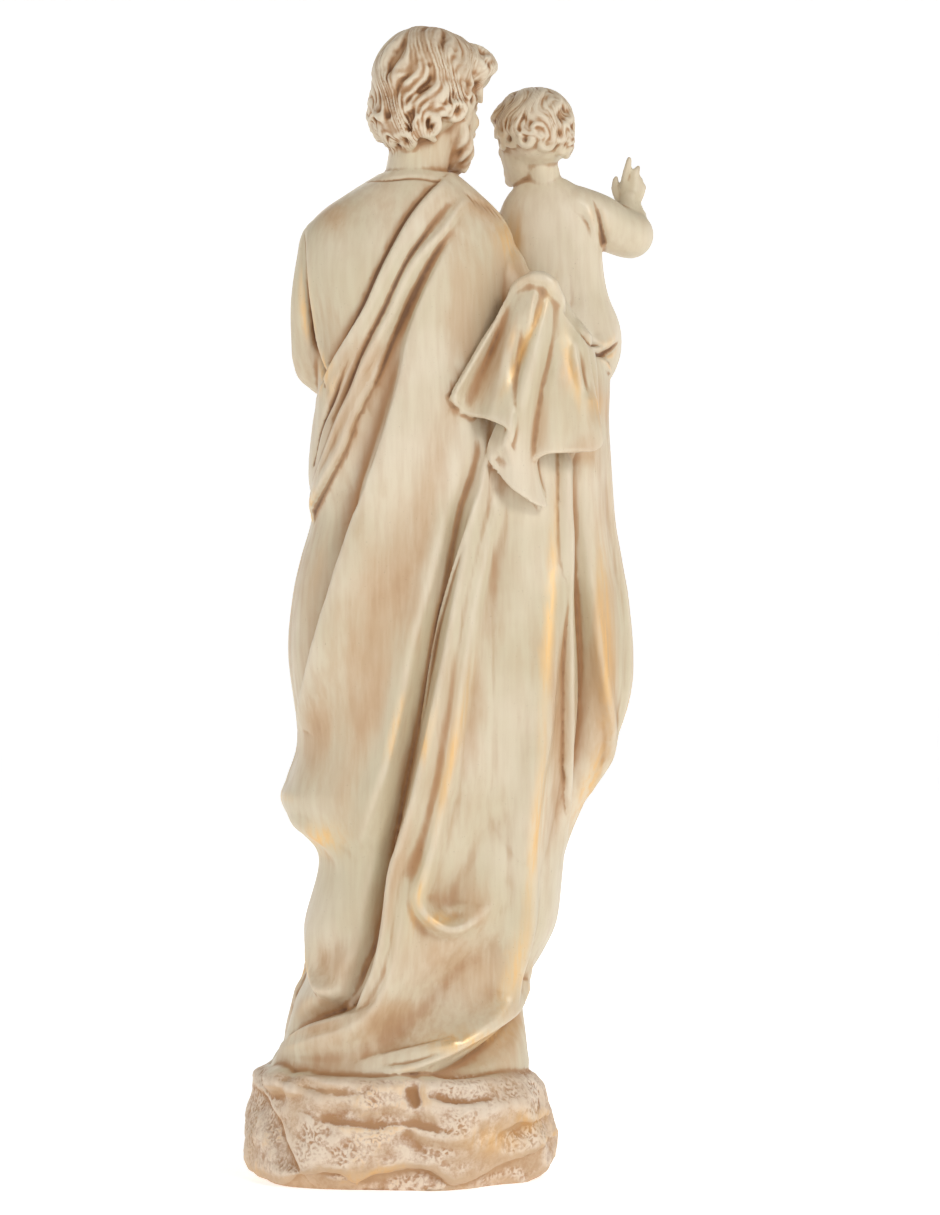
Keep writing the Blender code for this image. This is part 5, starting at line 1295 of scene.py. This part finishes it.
def painted_resin_looks():
    """Ivory paint over a brown wash that stays in the folds and also paints their shade, with cream painted
    highlights on the ridges and gold on some of them, partly gilding and partly painted highlight.
    """
    n = Nodes("painted_resin_fine")
    place = n.add("ShaderNodeTexCoord").outputs["Object"]
    groove, valley = n.attribute("groove"), n.attribute("valley")
    hair, stone = n.attribute("hair"), n.attribute("stone")
    broad = n.noise(place, 9, detail=4)
    patches = n.noise(place, 22, detail=5, stretch=(1, 1, 0.45), at=(3, 1, 2))
    strokes = n.noise(place, 260, detail=3, stretch=(1, 1, 0.10), at=(1, 5, 2))
    grain = n.noise(place, 900, detail=2, at=(7, 2, 4))
    gold_clouds = n.noise(place, 13, detail=2, at=(9, 4, 1))
    worms = n.noise(place, 520, detail=3, rough=0.65)

    # Pinkish tan where the wash was left on, with the patches in the recesses also painting their shade, over
    # ivory and cream in soft clouds.
    tan_wash_and_shade = n.plus(n.times(n.attribute("wash_and_shade"), 0.75), n.ramp(patches, 0.42, 0.70, 0.0, 0.55))
    streaky = n.uneven(tan_wash_and_shade, strokes, 0.06, 0.35, 0.65)
    # Brown in the grooves, in the bottom of the wide valleys and in the broad hollows: the wash left there,
    # and the shade there painted in, uneven where the brush skipped.
    in_groove = n.ramp(n.uneven(groove, strokes, 0.02), 0.015, 0.16)
    in_valley = n.ramp(n.uneven(valley, patches, 0.30), 0.10, 1.35)
    in_hollow = n.ramp(n.uneven(n.attribute("hollow"), patches, 0.5), 0.3, 3.2)
    # Ridges: cream as a painted highlight, and gold in places, partly gilding and partly painted highlight.
    crest = n.math("MAXIMUM", n.ramp(groove, -0.02, -0.2), n.ramp(valley, -0.25, -1.2))
    chance = n.times(crest, n.ramp(gold_clouds, 0.52, 0.66))
    gilt_and_highlight_share = n.math("MAXIMUM", n.times(n.attribute("gilt_and_highlight"), 1.1), chance)
    gold = n.times(gilt_and_highlight_share, n.ramp(strokes, 0.36, 0.62, 0.35, 1.0))
    cloth_paint = n.coats(
        n.mix(n.ramp(broad, 0.36, 0.66), IVORY, CREAM),
        (n.ramp(streaky, 0.05, 1.0, 0.0, 0.9), BLUSH),
        (n.ramp(streaky, 0.7, 1.4, 0.0, 0.45), WASH_AND_SHADE),
        (n.times(in_hollow, 0.7), WASH_AND_SHADE),
        (n.times(in_valley, 0.85), WASH_AND_SHADE),
        (n.times(in_groove, 0.75), WASH_AND_SHADE),
        # Darkest brown deep in the valleys and grooves: painted shade over the wash.
        (n.ramp(valley, 0.9, 2.6, 0.0, 0.6), DEEP_WASH_AND_SHADE),
        (n.ramp(groove, 0.12, 0.42, 0.0, 0.8), DEEP_WASH_AND_SHADE),
        # Cream on the crests: painted highlight.
        (n.times(crest, 0.55), CREAM),
        # Gold: partly gilding, partly painted highlight.
        (n.times(gold, 0.8), GOLD),
    )
    # Hair: cream over ochre, in fine strands, brown in its grooves and between the strands as wash and
    # painted shade.
    strand_at = n.times(n.attribute("strand"), FINE_STRANDS)
    strands = n.math("SINE", n.plus(strand_at, n.times(n.noise(place, 180, detail=2), 6.0)))
    hair_deep = n.plus(n.uneven(groove, patches, 0.09), n.times(strands, -0.05))
    hair_paint = n.coats(
        n.mix(n.ramp(hair_deep, -0.22, 0.14), CREAM, WASH_AND_SHADE),
        (n.ramp(hair_deep, 0.06, 0.34, 0.0, 0.85), DEEP_WASH_AND_SHADE),
    )
    # Rock: pinkish stone over brown; lighter on its raised parts and ledges as painted highlights, brown in
    # its grooves and valleys as wash and painted shade, tan on its undercut facets as partly their own colour
    # and partly painted shade, and gold in places, partly painted highlight.
    stone_deep = n.uneven(groove, worms, 0.07, 0.35, 0.65)
    stone_paint = n.coats(
        n.mix(n.ramp(stone_deep, -0.12, 0.10), STONE_HIGHLIGHT, STONE),
        (n.ramp(stone_deep, 0.04, 0.24, 0.0, 0.8), WASH_AND_SHADE),
        (n.ramp(patches, 0.45, 0.66, 0.0, 0.6), BLUSH),
        (n.ramp(valley, 0.1, 1.3, 0.0, 0.75), WASH_AND_SHADE),
        (n.ramp(valley, -0.2, -1.3, 0.0, 0.8), STONE_HIGHLIGHT),
        (n.times(n.attribute("under"), 0.75), n.mix(n.ramp(patches, 0.4, 0.6), FACET_TAN_AND_SHADE, BLUSH)),
        (n.times(gold, 0.5), GOLD),
    )
    paint = n.coats(
        cloth_paint,
        (n.times(hair, 0.95), hair_paint),
        (stone, stone_paint),
        (n.ramp(strokes, 0.30, 0.72, 0.0, 0.14), WASH_AND_SHADE),
        (n.times(n.ramp(grain, 0.70, 0.76), 0.30), DEEP_WASH_AND_SHADE),
    )
    n.put(n.shader.inputs["Base Color"], paint)

    satin = n.ramp(n.plus(patches, n.times(strokes, 0.4)), 0.45, 0.95, 0.34, 0.52)
    dull = n.times(n.math("MAXIMUM", stone, n.ramp(hair, 0, 1, 0, 0.6)), 0.22)
    n.put(n.shader.inputs["Roughness"], n.plus(n.plus(satin, dull), n.times(in_groove, 0.15)))
    n.put(n.shader.inputs["Metallic"], n.times(gold, 0.65))
    n.shader.inputs["Specular IOR Level"].default_value = 0.45
    height = n.plus(n.times(strokes, 0.5), n.times(grain, 0.35))
    height = n.plus(height, n.times(n.times(strands, hair), 0.5))
    height = n.plus(height, n.times(n.times(worms, stone), 4.0))
    bump = n.add("ShaderNodeBump", {"Height": height, "Strength": 0.30, "Distance": BUMP_DEPTH})
    n.put(n.shader.inputs["Normal"], bump.outputs["Normal"])
    return n.material


# Stage, in metres and watts
SIGHT_X = -0.0374  # the middle of the picture at the statue
SIGHT_Z = 0.3046
CAMERA_AWAY = 2.4
CAMERA_HIGH = 0.33
VIEW_HEIGHT = 0.6494  # what the picture's height takes in at the statue
SENSOR = 36
LIGHTS_AIM = (0, 0, 0.3)
LAMPS = (  # name, place, width and height, watts
    ("key_light", (-1.5, 2.0, 1.9), (0.8, 0.8), 27),
    ("left_light", (2.0, 1.2, 1.0), (1.0, 1.8), 4),
    ("front_light", (0.4, -2.4, 1.6), (1.6, 1.6), 12),
)
WORLD_LIGHT = 0.22
FLOOR_GLOW = 0.56
BACKDROP_FLAT = 3.0
BACKDROP_BEND = 2.5


def floor_paint():
    """White paint with a little light of its own, so that the far backdrop is as white as the floor."""
    n = Nodes("floor_paint")
    n.shader.inputs["Base Color"].default_value = (0.9, 0.9, 0.9, 1)
    n.shader.inputs["Roughness"].default_value = 0.8
    n.shader.inputs["Emission Color"].default_value = (1, 1, 1, 1)
    n.shader.inputs["Emission Strength"].default_value = FLOOR_GLOW
    return n.material


def backdrop():
    """A pale round floor whose far edge curves up all around, so that no horizon shows."""
    rings, around = 24, 96
    points, faces = [(0, 0, 0)], []
    for k in range(rings + 1):
        bend = math.radians(90 * max(0, k - 1) / (rings - 1))
        radius = BACKDROP_FLAT + BACKDROP_BEND * math.sin(bend)
        height = BACKDROP_BEND * (1 - math.cos(bend))
        for i in range(around):
            turn = 2 * math.pi * i / around
            points.append((radius * math.cos(turn), radius * math.sin(turn), height))
    for i in range(around):
        faces.append((0, 1 + i, 1 + (i + 1) % around))
        for k in range(rings):
            low, high = 1 + k * around, 1 + (k + 1) * around
            faces.append((low + i, high + i, high + (i + 1) % around, low + (i + 1) % around))
    mesh = bpy.data.meshes.new("floor")
    mesh.from_pydata(points, [], faces)
    mesh.shade_smooth()
    mesh.materials.append(floor_paint())
    floor = bpy.data.objects.new("floor", mesh)
    bpy.context.scene.collection.objects.link(floor)
    return floor


def placed_towards(name, data, place, aim):
    """An object at its place, turned so that it looks at a point."""
    obj = bpy.data.objects.new(name, data)
    bpy.context.scene.collection.objects.link(obj)
    obj.location = place
    obj.rotation_euler = (Vector(aim) - obj.location).to_track_quat("-Z", "Y").to_euler()
    return obj


def soft_light(name, place, size, watts):
    lamp = bpy.data.lights.new(name, "AREA")
    lamp.shape = "RECTANGLE"
    lamp.size, lamp.size_y = size
    lamp.energy = watts
    placed_towards(name, lamp, place, LIGHTS_AIM)


def lights():
    for name, place, size, watts in LAMPS:
        soft_light(name, place, size, watts)
    bpy.context.scene.view_settings.view_transform = "Standard"
    world = bpy.data.worlds.new("studio")
    bpy.context.scene.world = world
    world.use_nodes = True
    background = world.node_tree.nodes["Background"]
    background.inputs["Color"].default_value = (1, 1, 1, 1)
    background.inputs["Strength"].default_value = WORLD_LIGHT


def camera():
    data = bpy.data.cameras.new("camera")
    data.sensor_fit = "VERTICAL"
    data.sensor_height = SENSOR
    data.lens = data.sensor_height * CAMERA_AWAY / VIEW_HEIGHT
    place, aim = (SIGHT_X, CAMERA_AWAY, CAMERA_HIGH), (SIGHT_X, 0, SIGHT_Z)
    bpy.context.scene.camera = placed_towards("camera", data, place, aim)


def keep_inside(mesh, low, high):
    """The finer skin stands no prouder than the solid's own box."""
    write(mesh, np.clip(read(mesh), np.array(low), np.array(high)))


def dress():
    mesh = fine_statue()
    keep_inside(mesh, *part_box("saint_and_child"))
    statue = bpy.data.objects.new("statue", mesh)
    bpy.context.scene.collection.objects.link(statue)
    statue.data.materials.clear()
    statue.data.materials.append(painted_resin_looks())
    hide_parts("saint_and_child")
    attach(statue, "root")


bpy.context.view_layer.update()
dress()
backdrop()
lights()
camera()
